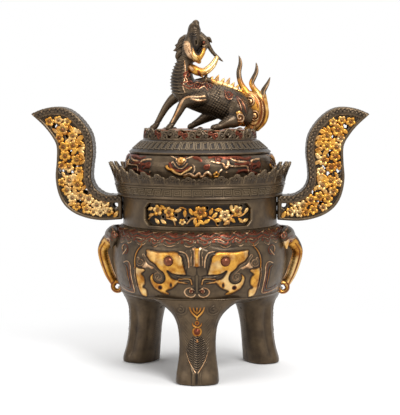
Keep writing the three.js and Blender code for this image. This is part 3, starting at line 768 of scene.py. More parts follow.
def spray_tree():
    """A flower or leaf on every carrier point, turned and sized by the point's attributes."""
    name = "Spray of foliage"
    if name in bpy.data.node_groups:
        return bpy.data.node_groups[name]
    tree = node_tree(name, (("Unit", "NodeSocketObject"), ("Material", "NodeSocketMaterial")))
    given = add(tree, "NodeGroupInput").outputs
    unit = add(
        tree, "GeometryNodeObjectInfo", {"Object": given["Unit"]}, transform_space="ORIGINAL",
    ).outputs["Geometry"]
    way, size = (
        add(tree, "GeometryNodeInputNamedAttribute", {"Name": key}, data_type=kind).outputs[0]
        for key, kind in (("way", "FLOAT_VECTOR"), ("size", "FLOAT"))
    )
    return copies_made(tree, given, Points=given["Geometry"], Instance=unit, Rotation=way, Scale=size)


def sprayed(unit_mesh, places, ways, sizes, material):
    """Copies of a unit at places in millimetres, with Euler angles and sizes."""
    carrier = raw_mesh("points", places, [])
    for key, kind, store, values in (
        ("way", "FLOAT_VECTOR", "vector", ways), ("size", "FLOAT", "value", sizes),
    ):
        data = np.asarray(values, np.float32).ravel()
        carrier.attributes.new(key, kind, "POINT").data.foreach_set(store, data)
    unit = linked("unit", unit_mesh)
    mesh = run_tree(spray_tree(), carrier, {"Unit": unit, "Material": material})
    bpy.data.objects.remove(unit)
    return mesh


def joined_meshes(name, meshes):
    """Several meshes, with their attributes, as one."""
    work = bmesh.new()
    for mesh in meshes:
        work.from_mesh(mesh)
    return mesh_of(work, name)


def strip(points, width, height):
    """A square-edged bar along an axis-aligned path of (across, up) points, its corners mitred."""
    points = np.asarray(points, float)
    ways = np.diff(points, axis=0)
    ways /= np.linalg.norm(ways, axis=1)[:, None]
    before, after = np.vstack([ways[:1], ways]), np.vstack([ways, ways[-1:]])
    side = np.stack([-(before + after)[:, 1], (before + after)[:, 0]], -1)
    side /= np.maximum((side * np.stack([-before[:, 1], before[:, 0]], -1)).sum(1), 0.5)[:, None]
    left, right = points + side * width / 2, points - side * width / 2
    low, high = np.full(len(points), -0.3), np.full(len(points), height)
    rings = [
        np.column_stack([right, low]), np.column_stack([right, high]), np.column_stack([left, high]),
        np.column_stack([left, low]),
    ]
    vertices = np.stack(rings, 1).reshape(-1, 3)
    faces = [(0, 1, 2, 3)]
    for start in range(0, 4 * (len(points) - 1), 4):
        faces += [(start + k, start + 4 + k, start + 4 + (k + 1) % 4, start + (k + 1) % 4) for k in range(4)]
    last = 4 * (len(points) - 1)
    faces.append((last + 3, last + 2, last + 1, last))
    return vertices, faces


# Finishes


FINISH_NAMES = {
    "bronze": "Patinated cast bronze",
    "gilt": "Fire-gilt bronze",
    "copper": "Copper-red patina",
    "pale": "Pale worn gilding",
}


def patch_colours(tree, place, low, high, grain, contrast=0.22):
    """Two colours in soft patches of the given size."""
    spread = ranged(tree, noise(tree, place, grain, 6.0, 0.6), 0.5 - contrast, 0.5 + contrast)
    return blend_colour(tree, spread, linear(low), linear(high))


def noise(tree, place, grain, detail, roughness=0.5):
    """Noise in patches of about the given number of millimetres."""
    inputs = {"Vector": place, "Scale": 1 / (grain * MM), "Detail": detail, "Roughness": roughness}
    return add(tree, "ShaderNodeTexNoise", inputs).outputs["Fac"]


def blend_colour(tree, factor, first, second):
    return add(
        tree, "ShaderNodeMix", {"Factor": factor, "A": first, "B": second}, data_type="RGBA",
    ).outputs["Result"]


# pale colour of the painted highlights on the gilding
GILT_HIGHLIGHT = "F3DAA2"
# painted shade along the edges of the gilt plates
GILT_EDGE_SHADE = "7E4A1B"
WORN_EDGE = "8F7C60"
SATIN = {"bronze": 0.35, "gilt": 0.32, "copper": 0.34, "pale": 0.4}


def finish_material(key, colour):
    """Cast bronze under a brown patina, with the gilt, copper-red and worn lines of the ornament.

    The areas attribute holds how far inside each finish a point lies. A threshold on it here keeps the edges
    crisp between the points of the mesh. The eye gets satin metal, with soot and painted shade in the hollows,
    painted highlights and painted edge shade on the gilding, and rubbed edges.
    """
    material = bpy.data.materials.new(FINISH_NAMES[key])
    material.use_nodes = True
    tree = material.node_tree
    surface = tree.nodes["Principled BSDF"].inputs
    place = add(tree, "ShaderNodeTexCoord").outputs["Object"]
    bronze = patch_colours(tree, place, colour.umber, colour.bronze, 16.0)
    gilt = patch_colours(tree, place, colour.gilt_deep, colour.gilt, 9.0, 0.16)
    # paler patches of the gilding: painted highlights
    painted_highlight = ranged(tree, noise(tree, place, 22.0, 3.0), 0.48, 0.64, 0.0, 0.5)
    gilt = blend_colour(tree, painted_highlight, gilt, linear(GILT_HIGHLIGHT))
    copper = patch_colours(tree, place, colour.copper_dark, colour.copper, 6.0)
    light = patch_colours(tree, place, colour.gilt_deep, colour.light, 8.0)
    pale = patch_colours(tree, place, colour.gilt, colour.pale, 8.0)
    areas = add(tree, "ShaderNodeAttribute", attribute_name="areas").outputs
    parts = add(tree, "ShaderNodeSeparateColor", {"Color": areas["Color"]}).outputs
    # a little waviness in the gilding's edge, as where it was burnished by hand
    waver = noise(tree, place, 2.5, 2.0)
    sharp = {}
    for name, socket in (("gilt", "Red"), ("copper", "Green"), ("light", "Blue")):
        sharp[name] = ranged(tree, math_node(tree, "MULTIPLY_ADD", waver, 0.09, parts[socket]), 0.51, 0.58)
    base = {"bronze": bronze, "gilt": gilt, "copper": copper, "pale": pale}[key]
    painted = blend_colour(tree, sharp["copper"], base, copper)
    painted = blend_colour(tree, sharp["light"], painted, light)
    # painted shade: the gilding turns reddish brown towards its edges and stays pale in the middle of the
    # plates
    rim = patch_colours(tree, place, GILT_EDGE_SHADE, colour.gilt_deep, 7.0, 0.3)
    plated = blend_colour(tree, ranged(tree, parts["Red"], 0.55, 0.78), rim, gilt)
    painted = blend_colour(tree, sharp["gilt"], painted, plated)
    # soot and painted shade in the hollows, also where the surface curves inwards, and rubbed metal on the
    # edges
    hollow_soot_and_shade = linear(colour.hollow_soot_and_shade)
    painted = blend_colour(tree, areas["Alpha"], painted, hollow_soot_and_shade)
    edges = add(tree, "ShaderNodeNewGeometry").outputs["Pointiness"]
    painted = blend_colour(tree, ranged(tree, edges, 0.5, 0.44, 0.0, 0.8), painted, hollow_soot_and_shade)
    rubbed = {"copper": light, "gilt": gilt}.get(key, linear(WORN_EDGE))
    painted = blend_colour(tree, ranged(tree, edges, 0.52, 0.6, 0.0, 0.35), painted, rubbed)
    tree.links.new(painted, surface["Base Color"])
    # the patina is an oxide skin and only half metal to the eye; the gilding over it is bare metal
    covered = math_node(
        tree, "MAXIMUM", math_node(tree, "MAXIMUM", sharp["gilt"], sharp["light"]), sharp["copper"],
    )
    metal = ranged(tree, covered, 0.0, 1.0, 0.7 if key == "bronze" else 0.85, 0.85)
    tree.links.new(metal, surface["Metallic"])
    rough = ranged(tree, noise(tree, place, 5.0, 4.0), 0.3, 0.7, SATIN[key] - 0.07, SATIN[key] + 0.1)
    tree.links.new(rough, surface["Roughness"])
    # casting skin: a fine unevenness of about a millimetre
    bump = {"Height": noise(tree, place, 1.4, 4.0), "Strength": 0.25, "Distance": 0.12 * MM}
    tree.links.new(add(tree, "ShaderNodeBump", bump).outputs["Normal"], surface["Normal"])
    return material


def finish(key):
    name = FINISH_NAMES[key]
    if name in bpy.data.materials:
        return bpy.data.materials[name]
    return finish_material(key, bpy.context.scene.burner_finish)


def paint(names, material):
    for name in names:
        piece = frame["nodes"].get(name)
        if piece is None:
            raise ValueError(f"the frame has no node named {name}")
        piece.data.materials.clear()
        piece.data.materials.append(material)


def nodes_of_slot(slot):
    return [entry["node"] for entry in frame["record"]["subparts"] if entry["material_slot"] == slot]


class BURNER_OT_finish(bpy.types.Operator):
    """Give every solid its finish"""

    bl_idname = "burner.finish"
    bl_label = "Finish the solids"

    def execute(self, context):
        for slot in FINISH_NAMES:
            paint(nodes_of_slot(slot), finish(slot))
        return {"FINISHED"}


# Bowl: the beast mask, the cloud band on the shoulder and the hooks beside the trunks


BELLY = [(99, 100), (105.5, 118.4), (109.5, 146), (105, 174), (97, 182)]
WALL = 5.0
BELLY_R = 109.5
MOUTH_Z = 182
BAND_R = 105
EYE_PLATE = [
    (60, 159.5), (54, 159.5), (46.5, 158.5), (38.5, 158.5), (31, 159), (25.5, 159), (20.5, 157), (17.5, 153),
    (16.5, 148), (15.5, 144), (14, 139), (13, 134.5), (13, 132), (17, 131.5), (22, 131), (26, 131.5),
    (30, 133), (34.5, 135.5), (32, 130.5), (29, 127.5), (25, 126), (21, 124.5), (23, 121), (26.5, 117),
    (30.5, 114), (33.5, 112.5), (36, 110.5), (33, 107.5), (38, 107), (42, 108), (46.5, 110.5), (51, 113.5),
    (54.5, 118.5), (56, 123), (56, 127), (54, 130), (52, 131.5), (52.5, 128.5), (51.5, 125.5), (49.5, 122.5),
    (46, 120.8), (42.5, 121), (39.5, 123), (38, 126.5), (38.5, 130), (40.5, 133.5), (44, 136), (47, 139),
    (49, 142), (52.5, 144.5), (56, 146.5), (58.5, 149.5), (60.5, 152.5), (60.5, 156),
]
WAVE = [
    (64, 152.5), (61.2, 149), (59, 145.5), (55.5, 142.8), (51.6, 140.8), (48.6, 138), (45, 135),
    (41.4, 131.6), (39.9, 127.4), (41.6, 123.6), (45.4, 122), (49.2, 123.8), (50.6, 127.6), (48.6, 131),
    (45, 130.8), (43.8, 127.8), (45.8, 126.2),
]
OUTER_PLATE = [
    (74, 137.5), (69, 137), (64, 136.5), (62.5, 134.5), (64, 132.5), (66, 130), (64, 127), (62.5, 123),
    (62.5, 118), (64.5, 114), (61.5, 111.5), (60, 107.5), (60.5, 102), (64, 101.5), (68, 104), (71, 110.5),
    (73, 118), (74.5, 126), (75, 132),
]
WEDGE = [
    (62.3, 151.6), (59.6, 145.6), (55, 141.6), (49.8, 139.7), (53.5, 137.1), (57.6, 138.4), (61.8, 137.4),
    (65.4, 138), (64, 142.5), (61.8, 146),
]
OUTLINE = [(75, 137), (75.2, 144), (74.5, 150.5), (72.5, 156), (70, 160), (67, 163.5), (65.8, 166.5)]
NOSE_STRIP = [(5.2, 163.5), (3.9, 158), (4.2, 142), (0, 141), (-4.2, 142), (-3.9, 158), (-5.2, 163.5)]
BROW_LIGHT = [(9.2, 141), (9.5, 148), (11.2, 154), (14.5, 157.8), (21, 159.5)]
WHISKER = [(7.5, 129.2), (15.5, 129), (22.5, 130), (28.5, 132), (34, 135.5)]
WHISKER_LINE = [(6, 120.5), (6.8, 124.5), (8.5, 126.8), (14, 127), (21.5, 126.4)]
WHISKER_LOW = [(9, 124.2), (15.5, 124.2), (20.5, 125)]
NOSTRIL_LOOP = [(2.6, 113), (7, 116), (12, 115), (14.6, 111.4), (13, 107), (8.6, 104.6), (4, 105.4), (2, 108)]
HOOK_OUT = [
    (97, 108), (93.5, 106.5), (87.5, 104.8), (80, 104), (76.8, 105.5), (77.2, 109.5), (79, 118), (81, 129.5),
    (81.3, 137.5), (83, 142), (86.5, 143), (90, 141),
]
HOOK_IN = [
    (94.5, 112), (91, 109.5), (85.5, 108.5), (82.3, 110), (83, 115.5), (85, 125), (86, 132), (86.8, 136),
    (89.5, 138),
]
EAR = [
    (86, 161.5), (89.5, 162.5), (92, 159.5), (91.5, 154.5), (88.5, 152), (85.6, 153.6), (84.6, 158),
    (86, 161.5),
]


def draw_mask(relief, sizes):
    """The animal mask, from the middle outwards; one half, drawn on distances from the middle plane."""
    plate, line = sizes.plate_lift, sizes.line_lift
    # ground of the whole face, a low pillow under the plates
    relief.plate(
        [(0, 166), (30, 163), (60, 164), (75, 150), (76, 120), (68, 100), (40, 104), (0, 103)], 0.35, 3.0,
    )
    for points, key in ((EYE_PLATE, "gilt"), (OUTER_PLATE, "gilt"), (WEDGE, "light")):
        relief.plate(points, plate + 0.3, 2.8, key)
    for points, width in ((WAVE, 2.3), (spiral((68.4, 144.4), 4.8, 1.4, 60, -1), 1.9)):
        relief.stroke(points, width + 1.5, line + 0.2, "light")
        relief.stroke(points, width, line + 0.8, "bare", groove=0.9)
    relief.strokes(
        (OUTLINE, 2.0, line + 0.2, "gilt", 1, 0.5),
        ([(75.6, 137.5), (75.4, 128), (73.8, 117), (71.4, 108)], 0.9, line + 0.6, "light", 1, 0.4),
    )
    relief.dot((43.5, 115.5), 2.4, -0.9, "copper")
    relief.dot((30.5, 119), 1.2, -1.0, "bare", (1.0, 2.2))
    # bridge of the nose and brow
    relief.plate([(0, 164), (9, 163), (14, 160), (12.5, 150), (12, 140), (12, 132), (0, 132)], 0.9, 2.4)
    relief.plate(NOSE_STRIP, plate + 0.5, 1.2, "light", smooth=False)
    relief.plate(np.array(NOSE_STRIP) * (0.55, 1) + (0, 0.2), plate + 0.2, 1.2, "gilt", smooth=False)
    relief.strokes(
        (BROW_LIGHT, 1.7, line + 0.7, "light", 0.7, 0.5),
        ([(12.5, 139), (12.4, 147), (14, 152), (17, 155.2), (21, 156)], 1.6, line + 0.6, "bare"),
        ([(6.6, 143), (6.8, 150), (5.8, 156), (7.5, 161)], 1.0, line + 0.9, "light", 0.8, 0.4),
        # whiskers, ridge of the muzzle and nostrils
        (WHISKER, 2.6, line + 0.8, "bare", 1, 0.15),
        (WHISKER_LINE, 2.2, line + 0.3, "gilt", 0.8, 0.7),
        (WHISKER_LOW, 1.9, line + 0.5, "bare", 1, 0.4),
        ([(11, 121.3), (16, 122.4), (21, 122.8)], 2.2, line, "gilt", 0.4, 1),
    )
    relief.stroke([(0, 131), (0, 122), (0, 111)], 4.2, line + 1.0, None, 0.8, 1, groove=0.4)
    relief.dot((6.6, 112), 3.4, line + 1.2, "copper")
    relief.strokes(
        (spiral((6.6, 112), 3.2, 0.9, 150, -1, 0.4), 1.0, line + 1.5, "light"),
        (NOSTRIL_LOOP, 1.5, line + 0.3, "light", 0.7, 0.7),
    )


def draw_hooks(relief, sizes):
    """Angular double hooks and the drop-shaped ears beside the elephant heads."""
    line = sizes.line_lift
    relief.strokes(
        (HOOK_OUT, 1.2, line + 0.3, "light", 0.6, 0.8),
        (np.array(HOOK_OUT[2:-2]) * (0.93, 0.95) + (7.4, 6.4), 1.4, line - 0.2, "copper", 0.5, 0.6),
        (HOOK_IN, 1.0, line + 0.1, "gilt", 0.6, 0.8),
        (EAR, 1.1, line + 0.3, "copper"),
        (EAR[1:4], 0.9, line + 0.5, "light", 0.4, 0.4),
        ([(86.5, 158), (89, 154), (91.5, 150.5)], 1.2, line, "light", 0.5, 1),
    )


CLOUD_COUNT = 32


def draw_cloud_band(relief, sizes, pitch):
    """The shoulder's band of clouds: hanging loops below, two interlaced waves and curls above."""
    line = sizes.line_lift
    relief.plate([(-6, 164.5), (pitch + 6, 164.5), (pitch + 6, 183), (-6, 183)], 0.25, 1.5, smooth=False)
    for start in (-pitch, 0, pitch):
        middle = start + pitch / 2
        relief.plate(
            [
                (middle - 8.2, 170.5), (middle - 5.6, 166.6), (middle, 164.4), (middle + 5.6, 166.6),
                (middle + 8.2, 170.5),
            ],
            0.9, 1.4,
        )
        relief.strokes(
            ([(middle - 8.4, 171), (middle - 5.8, 166.6), (middle, 164.2), (middle + 5.8, 166.6),
                (middle + 8.4, 171)], 1.1, line, "light", 0.2, 0.2),
            ([(middle - 5.2, 171), (middle, 167.6), (middle + 5.2, 171)], 1.3, line + 0.2, "copper"),
        )
        relief.stroke(
            [
                (start - 2, 173.5), (start + 2.6, 175.6), (middle - 3, 173.8), (middle + 3, 172.2),
                (start + pitch - 2, 173.5), (start + pitch + 2.6, 175.6),
            ],
            1.8, line + 0.4, "copper", groove=0.3,
        )
        relief.strokes(
            ([(start - 2, 172.2), (middle - 5, 172.8), (middle + 1, 170.9), (start + pitch - 2, 172.2)],
                0.9, line + 0.2, "light", 0.3, 0.3),
            ([(start - 1, 177.5), (start + 4, 179.4), (middle, 177.2), (middle + 5.5, 175.8),
                (start + pitch - 1, 177.5)], 1.3, line + 0.2, "copper"),
            (spiral((middle + 4.2, 178.6), 2.2, 1.1, -90, 1), 1.2, line + 0.2, "copper"),
            ([(start + 1, 180.6), (start + 5, 179.2), (middle, 181)], 1.0, line + 0.3, "light", 0.3, 0.5),
        )
        relief.stroke(
            [(middle - 6, 175.2), (middle, 178.8), (middle + 7, 174.6)], 1.5, line + 0.7, "copper", 0.4, 0.4,
            groove=0.3,
        )
        relief.dot((start + 3.4, 177.2), 0.9, -1.0, "bare")
        relief.dot((middle + 1.6, 174.9), 0.8, -1.0, "bare")
        relief.stroke(spiral((start + 0.5, 170.3), 2.0, 1.0, 90, -1), 1.2, line, "copper")


def draw_bowl(turn, r, z):
    sizes = bpy.context.scene.burner_sizes
    x = r * np.sin(turn)
    relief = Relief(np.abs(x), z)
    draw_mask(relief, sizes)
    draw_hooks(relief, sizes)
    # soot and painted shade beside the gilt plates
    gilt = relief.areas["gilt"]
    relief.soot_and_shade += 0.8 * np.where(gilt > 0, rise((2.0 - gilt) / 1.6), 0) * rise((164 - z) / 1.5)
    girth = 2 * math.pi * BAND_R
    pitch = girth / CLOUD_COUNT
    # the drawing wavers a little, so that no two clouds are quite alike
    across = turn / (2 * math.pi) * girth + 2.2 * np.sin(turn * 13) + 0.8 * np.sin(z * 0.7 + turn * 5)
    band = Relief(across % pitch, z + 0.6 * np.sin(turn * 23))
    draw_cloud_band(band, sizes, pitch)
    relief.height = np.maximum(relief.height, band.height)
    for name in AREAS:
        relief.areas[name] = np.minimum(relief.areas[name], band.areas[name])
    return relief


class BURNER_OT_bowl(bpy.types.Operator):
    """Make the bowl with its mask, bands and hooks"""

    bl_idname = "burner.bowl"
    bl_label = "Bowl"

    def execute(self, context):
        sizes = context.scene.burner_sizes
        belly = smooth_path(BELLY, 8)
        under = [(20, 84.4), (44.6, 85.5), (62, 88), (77.2, 91), (92, 96.6)]
        lip = [(97.6, 98.4), (99.6, 99.2), (100.2, 100.4), (99.6, 101.6), (100.2, 103.2)]
        rest = belly[belly[:, 1] > 104]
        outer = np.vstack(
            [along_profile(under, 6.0)[:-1], along_profile([(92, 96.6), *lip, *rest], sizes.mesh_step)]
        )
        inner = [(b[0] - WALL, b[1]) for b in belly[::-4] if b[1] < 181.5]
        inner = [(92.2, MOUTH_Z), *inner, (77.2, 96), (48, 90.5), (20, 90.5), (0, 90.5)]
        columns = int(2 * math.pi * BAND_R / sizes.mesh_step / 12) * 12
        turned_piece(
            "bowl_relief", outer, inner, columns, draw_bowl, VESSEL, finish("bronze"), ["bowl"],
        )
        return {"FINISHED"}


# The beast on the lid: places are (x, y, height above the lid's top), in millimetres


BEAST_Z = 301.1
TORSO = [
    (-14, -6, 90, 8.5), (-19.5, -5.5, 77, 11.2), (-21.5, -5, 61, 14.5), (-15.5, -6, 47, 18),
    (4, -6, 38.5, 19.5), (26, -4, 33, 21), (44, -2, 26, 21.3), (55, -1, 18, 15),
]
FRONT_NEAR = [
    (4, -20, 38, 9), (-9, -23, 35, 8.2), (-19, -24.5, 31, 6.2), (-25, -26, 21, 4.9), (-30, -27.5, 12, 4.0),
    (-34, -28.5, 5.6, 3.8), (-37.6, -29.5, 0.8, 4.0, 1.15),
]
FRONT_FAR = [
    (-12, 6, 49, 8), (-30, 7, 39.5, 7), (-40.5, 7, 29.5, 5.2), (-47.6, 6.7, 18.5, 4.1), (-53, 6.5, 8.5, 3.7),
    (-56.4, 6, 2.8, 3.9), (-59.4, 6, 0.6, 4.1, 1.15),
]
HIND_NEAR = [
    (46, -19, 25, 14.5, 0.8), (43, -22, 13, 11, 0.8), (34, -27, 8, 7.5), (25, -31.5, 3.4, 4.6, 1.15),
    (18, -36, 1.6, 4.2, 1.15),
]
HIND_FAR = [(26, 10, 25, 11.5), (10, 12.5, 16, 8), (-2, 13.5, 8.5, 5), (-13, 14, 2.2, 3.6, 1.2)]
SNOUT = [
    (-12, -6, 92, 11.5, 1.05), (-10, -7, 101, 12.5), (-8, -8, 109, 11.2), (-7, -9, 117, 8.8, 1.05),
    (-6.4, -10, 124.5, 7.6, 1.1), (-4.8, -11, 129.5, 4.6, 1.1),
]
JAW = [
    (-15.5, -11, 105, 3.2), (-14.5, -14, 99, 5.0), (-9, -18, 91.5, 6.8), (-3.5, -19.5, 86.5, 5.2),
    (-0.5, -18.5, 82.5, 2.6),
]
JAW_SIDE = [(-1, -17.5, 88, 4.4), (3, -15, 94, 3.8), (5.2, -12, 99.5, 2.8)]
BROW = [(1.0, -11, 113.5, 3.6), (5.4, -11, 108.5, 4.4), (6.4, -10, 101.5, 3.6), (4.5, -9, 95.5, 2.6)]
NOSTRILS = [
    [(-10.6, -15.6, 125.2, 2.2), (-8.4, -16.6, 127.6, 2.3)],
    [(-3.4, -16.8, 127.2, 2.3), (-1.4, -15.8, 124.6, 2.0)],
]
MANE = [
    [(-14, -2, 112, 5.0), (-22, -2, 110, 4.0), (-26.5, -2, 104.5, 2.4), (-30.5, -2.5, 103, 1.0)],
    [(-14, -3, 105, 5.5), (-24, -3, 103, 4.2), (-29, -3.5, 98, 2.4), (-32.6, -4, 96.4, 0.9)],
    [(-14, -3, 96, 6.0), (-23, -3, 95, 5.0), (-27.6, -3.5, 89.5, 3.4), (-27.2, -4, 85.2, 1.6)],
    [(-13, 4, 112, 5.0), (-19, 5, 114, 3.0), (-22.6, 6, 113, 1.2)],
]
HORN = [
    (0.5, -3, 116.5, 3.6, 1.1), (6.5, -3, 110, 3.9), (11.2, -2.6, 101.5, 3.0), (16.5, -2, 93.6, 2.4),
    (22.5, -1.4, 88, 2.0), (28.4, -1, 83.2, 0.8),
]
EAR_TIP = [(6.5, -3, 110, 2.6), (11.2, -4, 111.4, 2.2, 1.4), (14.4, -4.5, 106.6, 1.0, 1.6)]
LOCK = [
    (-14.5, -11, 75.5, 3.0), (-9.5, -13, 74.6, 5.2), (-2.5, -14, 70.8, 5.6), (5.0, -12, 70.2, 4.9),
    (12.2, -8.5, 74.8, 4.6), (17.4, -6, 81, 4.0), (20.6, -4, 87.4, 3.0),
]
LOCK_TAIL = [(-2, -14, 72, 3.4), (1.2, -14.6, 66.4, 2.4), (4, -14, 63.6, 0.9)]
TAIL = [
    (52, 0, 42, 5.5), (62, 0, 38.5, 9.0, 0.85), (68.5, 0, 29, 12, 0.8), (70, 0, 17, 12, 0.8),
    (67.5, 0, 6.5, 9.5, 0.8), (60.5, 0, 0.4, 5, 0.9),
]
TAIL_RIDGE = [(73, 0, 42, 4.0), (79, 0, 32, 4.2), (82.0, 0, 20, 4.0), (79, 0, 9, 4.2), (71, 0, 0, 3.6)]
FLAMES = (
    [
        (61, -1, 37, 5.2), (57.7, -1, 44.8, 4.6), (52.6, -1, 52.5, 3.8), (49.4, -1, 60, 3.4),
        (48.2, -1, 69.9, 3.2), (50, -1, 79.4, 2.7), (49.6, -1, 85.6, 1.8), (48.2, -1, 90.2, 0.7),
    ],
    [
        (75, 0, 34, 4.8), (71.5, 0, 43.6, 4.2), (66.4, 0, 50.5, 3.6), (64, 0, 56.5, 3.4), (66.8, 0, 63, 3.2),
        (69.7, 0, 69.5, 2.8), (70.4, 0, 75.6, 2.0), (69.7, 0, 81.2, 0.8),
    ],
    [
        (82.6, 1, 16, 3.2), (81.4, 1, 27, 3.8), (79.3, 1, 38.8, 3.8), (78.4, 1, 45.5, 3.5),
        (81, 1, 50.8, 3.1), (84.2, 1, 56.4, 2.3), (86.8, 1, 63.3, 0.8),
    ],
)
CREST_TIPS = [
    (2, 63.5, 2.6), (9.5, 68.2, 3.2), (16.5, 65.5, 3.0), (23.6, 67.6, 3.4), (30.5, 63.4, 3.2),
    (37.2, 63.8, 3.4), (43, 58.4, 3.2), (48.6, 55.6, 3.0), (53.4, 50.6, 2.6),
]
CREST_BACK = [(-4, 58.5), (8.5, 60.5), (20.7, 56.6), (32.6, 53), (43.6, 48), (52.5, 42.5)]
CLOUD_MARKS = (
    [(-22, 55.6), (-15.2, 59.2), (-17.6, 63.8), (-16.4, 68.5), (-14, 71.5)],
    [(-21.2, 54.4), (-13, 49.5), (-8, 52)],
    [(-8.5, 54.8), (-3.3, 58.2), (3, 56.4), (8, 58), (13.4, 49.6)],
    [(-8, 50.5), (0, 50.4), (5, 53), (11, 47)],
    [(-2, 63.5), (4, 60.5), (9.5, 62)],
    [(31.4, 47), (32.6, 40), (36.2, 36.4), (39.8, 38.8), (41, 43.5)],
    [(47, 40), (54, 31.6), (57.6, 19.8)],
    [(45.6, 39.5), (50.6, 28), (51.6, 22)],
)
CLOUD_CURLS = (
    ((-15, 66.5), 4.2), ((-11, 56), 3.6), ((-2.5, 54), 4.0), ((6, 54), 3.8), ((13, 52.5), 3.6),
    ((36, 42), 4.2),
)


def draw_beast_body(relief):
    x, up = relief.at.T
    # overlapping scales on the flank, fading towards the ribs and the belly
    zone = rise((x + 16) / 8) * rise((58 - x) / 6) * rise((up - 8) / 8)
    scales = scale_pattern(x + up * 0.25, up - x * 0.25, 4.6) * zone
    relief.height -= 0.8 * scales
    # soot and painted shade in the lines of the scales, and the whole scaled zone a little darker
    relief.soot_and_shade += 0.7 * scales + 0.25 * zone
    # ribs down the throat and chest
    for index in range(11):
        t = index / 10
        level = 84 - 40 * t
        edge = np.interp(level, [44, 51, 62, 74, 85], [-30, -33.6, -34.6, -32, -28.5])
        inner = np.interp(level, [44, 60, 85], [-15, -19, -20])
        relief.stroke(
            [(edge - 4, level + 1.5), ((edge + inner) / 2, level - 0.6), (inner, level + 1.0)], 2.3, 1.7,
            "bare", 1, 0.7,
        )
    relief.stroke(
        [(-18.5, 84), (-17.6, 72), (-18.6, 60), (-20, 52), (-17.5, 45)], 1.6, 0.9, "light", 0.5, 0.7,
    )
    # red clouds on the shoulder and haunch, with worn light rims
    for points in CLOUD_MARKS:
        relief.stroke(points, 3.2, 0.75, "copper", 0.5, 0.4)
    for centre, radius in CLOUD_CURLS:
        relief.stroke(spiral(centre, radius, 1.2, 200, -1, 0.3), 2.0, 0.8, "copper")
    for points in CLOUD_MARKS:
        relief.stroke(np.array(points) + (0.5, -1.0), 0.8, 0.9, "light", 0.3, 0.3)
    # gilt curl and patch low on the haunch
    relief.plate(
        [
            (45.2, 21), (50.8, 22), (55, 16), (54.6, 8.5), (57, 2.5), (53, -3), (40, -3), (39.8, 1.6),
            (45.4, 3.2), (49.4, 7.5), (46.6, 11),
        ],
        0.9, 1.4, "gilt",
    )
    relief.strokes(
        (spiral((49.6, 14.6), 5.6, 1.2, 250, 1, 0.25), 1.8, 1.7, "light"),
        (spiral((49.6, 14.6), 3.9, 1.0, 250, 1, 0.3), 0.9, 0.3, "copper"),
        # a painted highlight down the near front leg, and a pale worn line across the top of the front legs
        ([(7, 40), (-4, 39.4), (-14, 39.4), (-19.5, 36.6), (-24, 27), (-29, 17), (-33.5, 8)], 3.0, 0.5,
            "light", 0.6, 0.5),
        ([(-10, 37), (0, 34.5), (8, 36)], 4.0, 0.8, "light", 0.3, 0.4),
    )
    for hoof in ((-35.5, 3.5), (-54, 4), (21, 4), (-8, 4)):
        relief.strokes(
            ([(hoof[0] - 4, hoof[1] + 3.4), (hoof[0] + 5, hoof[1] + 3.4)], 1.1, -0.9, "bare"),
            ([(hoof[0] - 1.5, hoof[1] + 2), (hoof[0] - 4.5, hoof[1] - 4)], 0.9, -0.9, "bare"),
        )


def draw_beast_head(relief):
    near = relief.depth < -6
    # the open mouth, with painted shade inside it, and the tongue
    relief.stroke(
        [(-8.6, 113.6), (-6.2, 108), (-3.4, 101.8), (-1.2, 96)], 7.2, -3.8, "bare", 0.75, 0.6, edge=2.6,
    )
    mouth, _ = path_distance(relief.at, smooth_path([(-8.6, 114), (-6.2, 108), (-3.4, 101.5), (-1.2, 96)]))
    relief.soot_and_shade += np.where(near, 0.95 * rise((5.6 - mouth) / 2.2), 0)
    # the tongue in the pale finish: a painted highlight
    relief.stroke([(-8.2, 98.6), (-6.6, 94.6)], 2.0, 1.0, "light")
    # pale cheek to the left, gilt lip and jaw to the right
    relief.plate(
        [
            (-18.6, 107.6), (-12.4, 106), (-10.4, 98), (-8.6, 91), (-8, 85.4), (-12.8, 86.6), (-17, 92),
            (-19.6, 100),
        ],
        0.4, 1.6, "light",
    )
    relief.plate(
        [
            (-8.4, 98.4), (-3.6, 90.6), (1.5, 91.6), (4, 99), (7.6, 98.6), (6.6, 89), (1.6, 79.6),
            (-4.6, 80.6), (-9, 86),
        ],
        0.4, 1.2, "gilt",
    )
    relief.strokes(
        ([(-13.6, 96), (-9.6, 88.4), (-5.2, 83.4)], 1.1, -0.8, None),
        ([(-2.6, 88), (-0.4, 84.4), (0.4, 81)], 1.0, -0.7, None),
    )
    # nostrils, wrinkles of the snout, brow and eye
    for x in (-10.2, -1.6):
        relief.dot((x, 126.2), 1.2, -1.6, "bare")
    for index in range(4):
        level = 122.6 - index * 2.7
        relief.stroke(
            [
                (-15.6, level - 1.6), (-11, level + 0.6), (-6.4, level - 0.2), (-1.6, level + 0.8),
                (2, level - 1),
            ],
            1.1, 0.75, None, 0.2, 0.2,
        )
    relief.dot((5.0, 105.6), 2.1, 1.5, "copper")
    relief.strokes(
        ([(1.4, 107), (4.6, 109.4), (8.6, 107.4)], 1.2, 1.4, "bare"),
        ([(1.6, 103.6), (5.2, 102), (8.8, 103.6)], 1.0, 1.0, "light", 0.4, 0.4),
    )
    # strands of the mane
    for start, end in (
        ((-15, 112), (-28, 104)), ((-15, 107), (-30, 98)), ((-15.6, 102), (-30, 96)), ((-16, 97), (-28, 89)),
        ((-16.4, 92), (-27, 86)),
    ):
        middle = ((start[0] + end[0]) / 2, (start[1] + end[1]) / 2 + 1.6)
        relief.stroke([start, middle, end], 1.3, -0.9, None, 0.6, 0.6)
    # the far side is plainer, with its finishes only on the mane
    relief.height *= np.where(near, 1, 0.35)
    relief.only(near | (relief.at[:, 0] < -12))


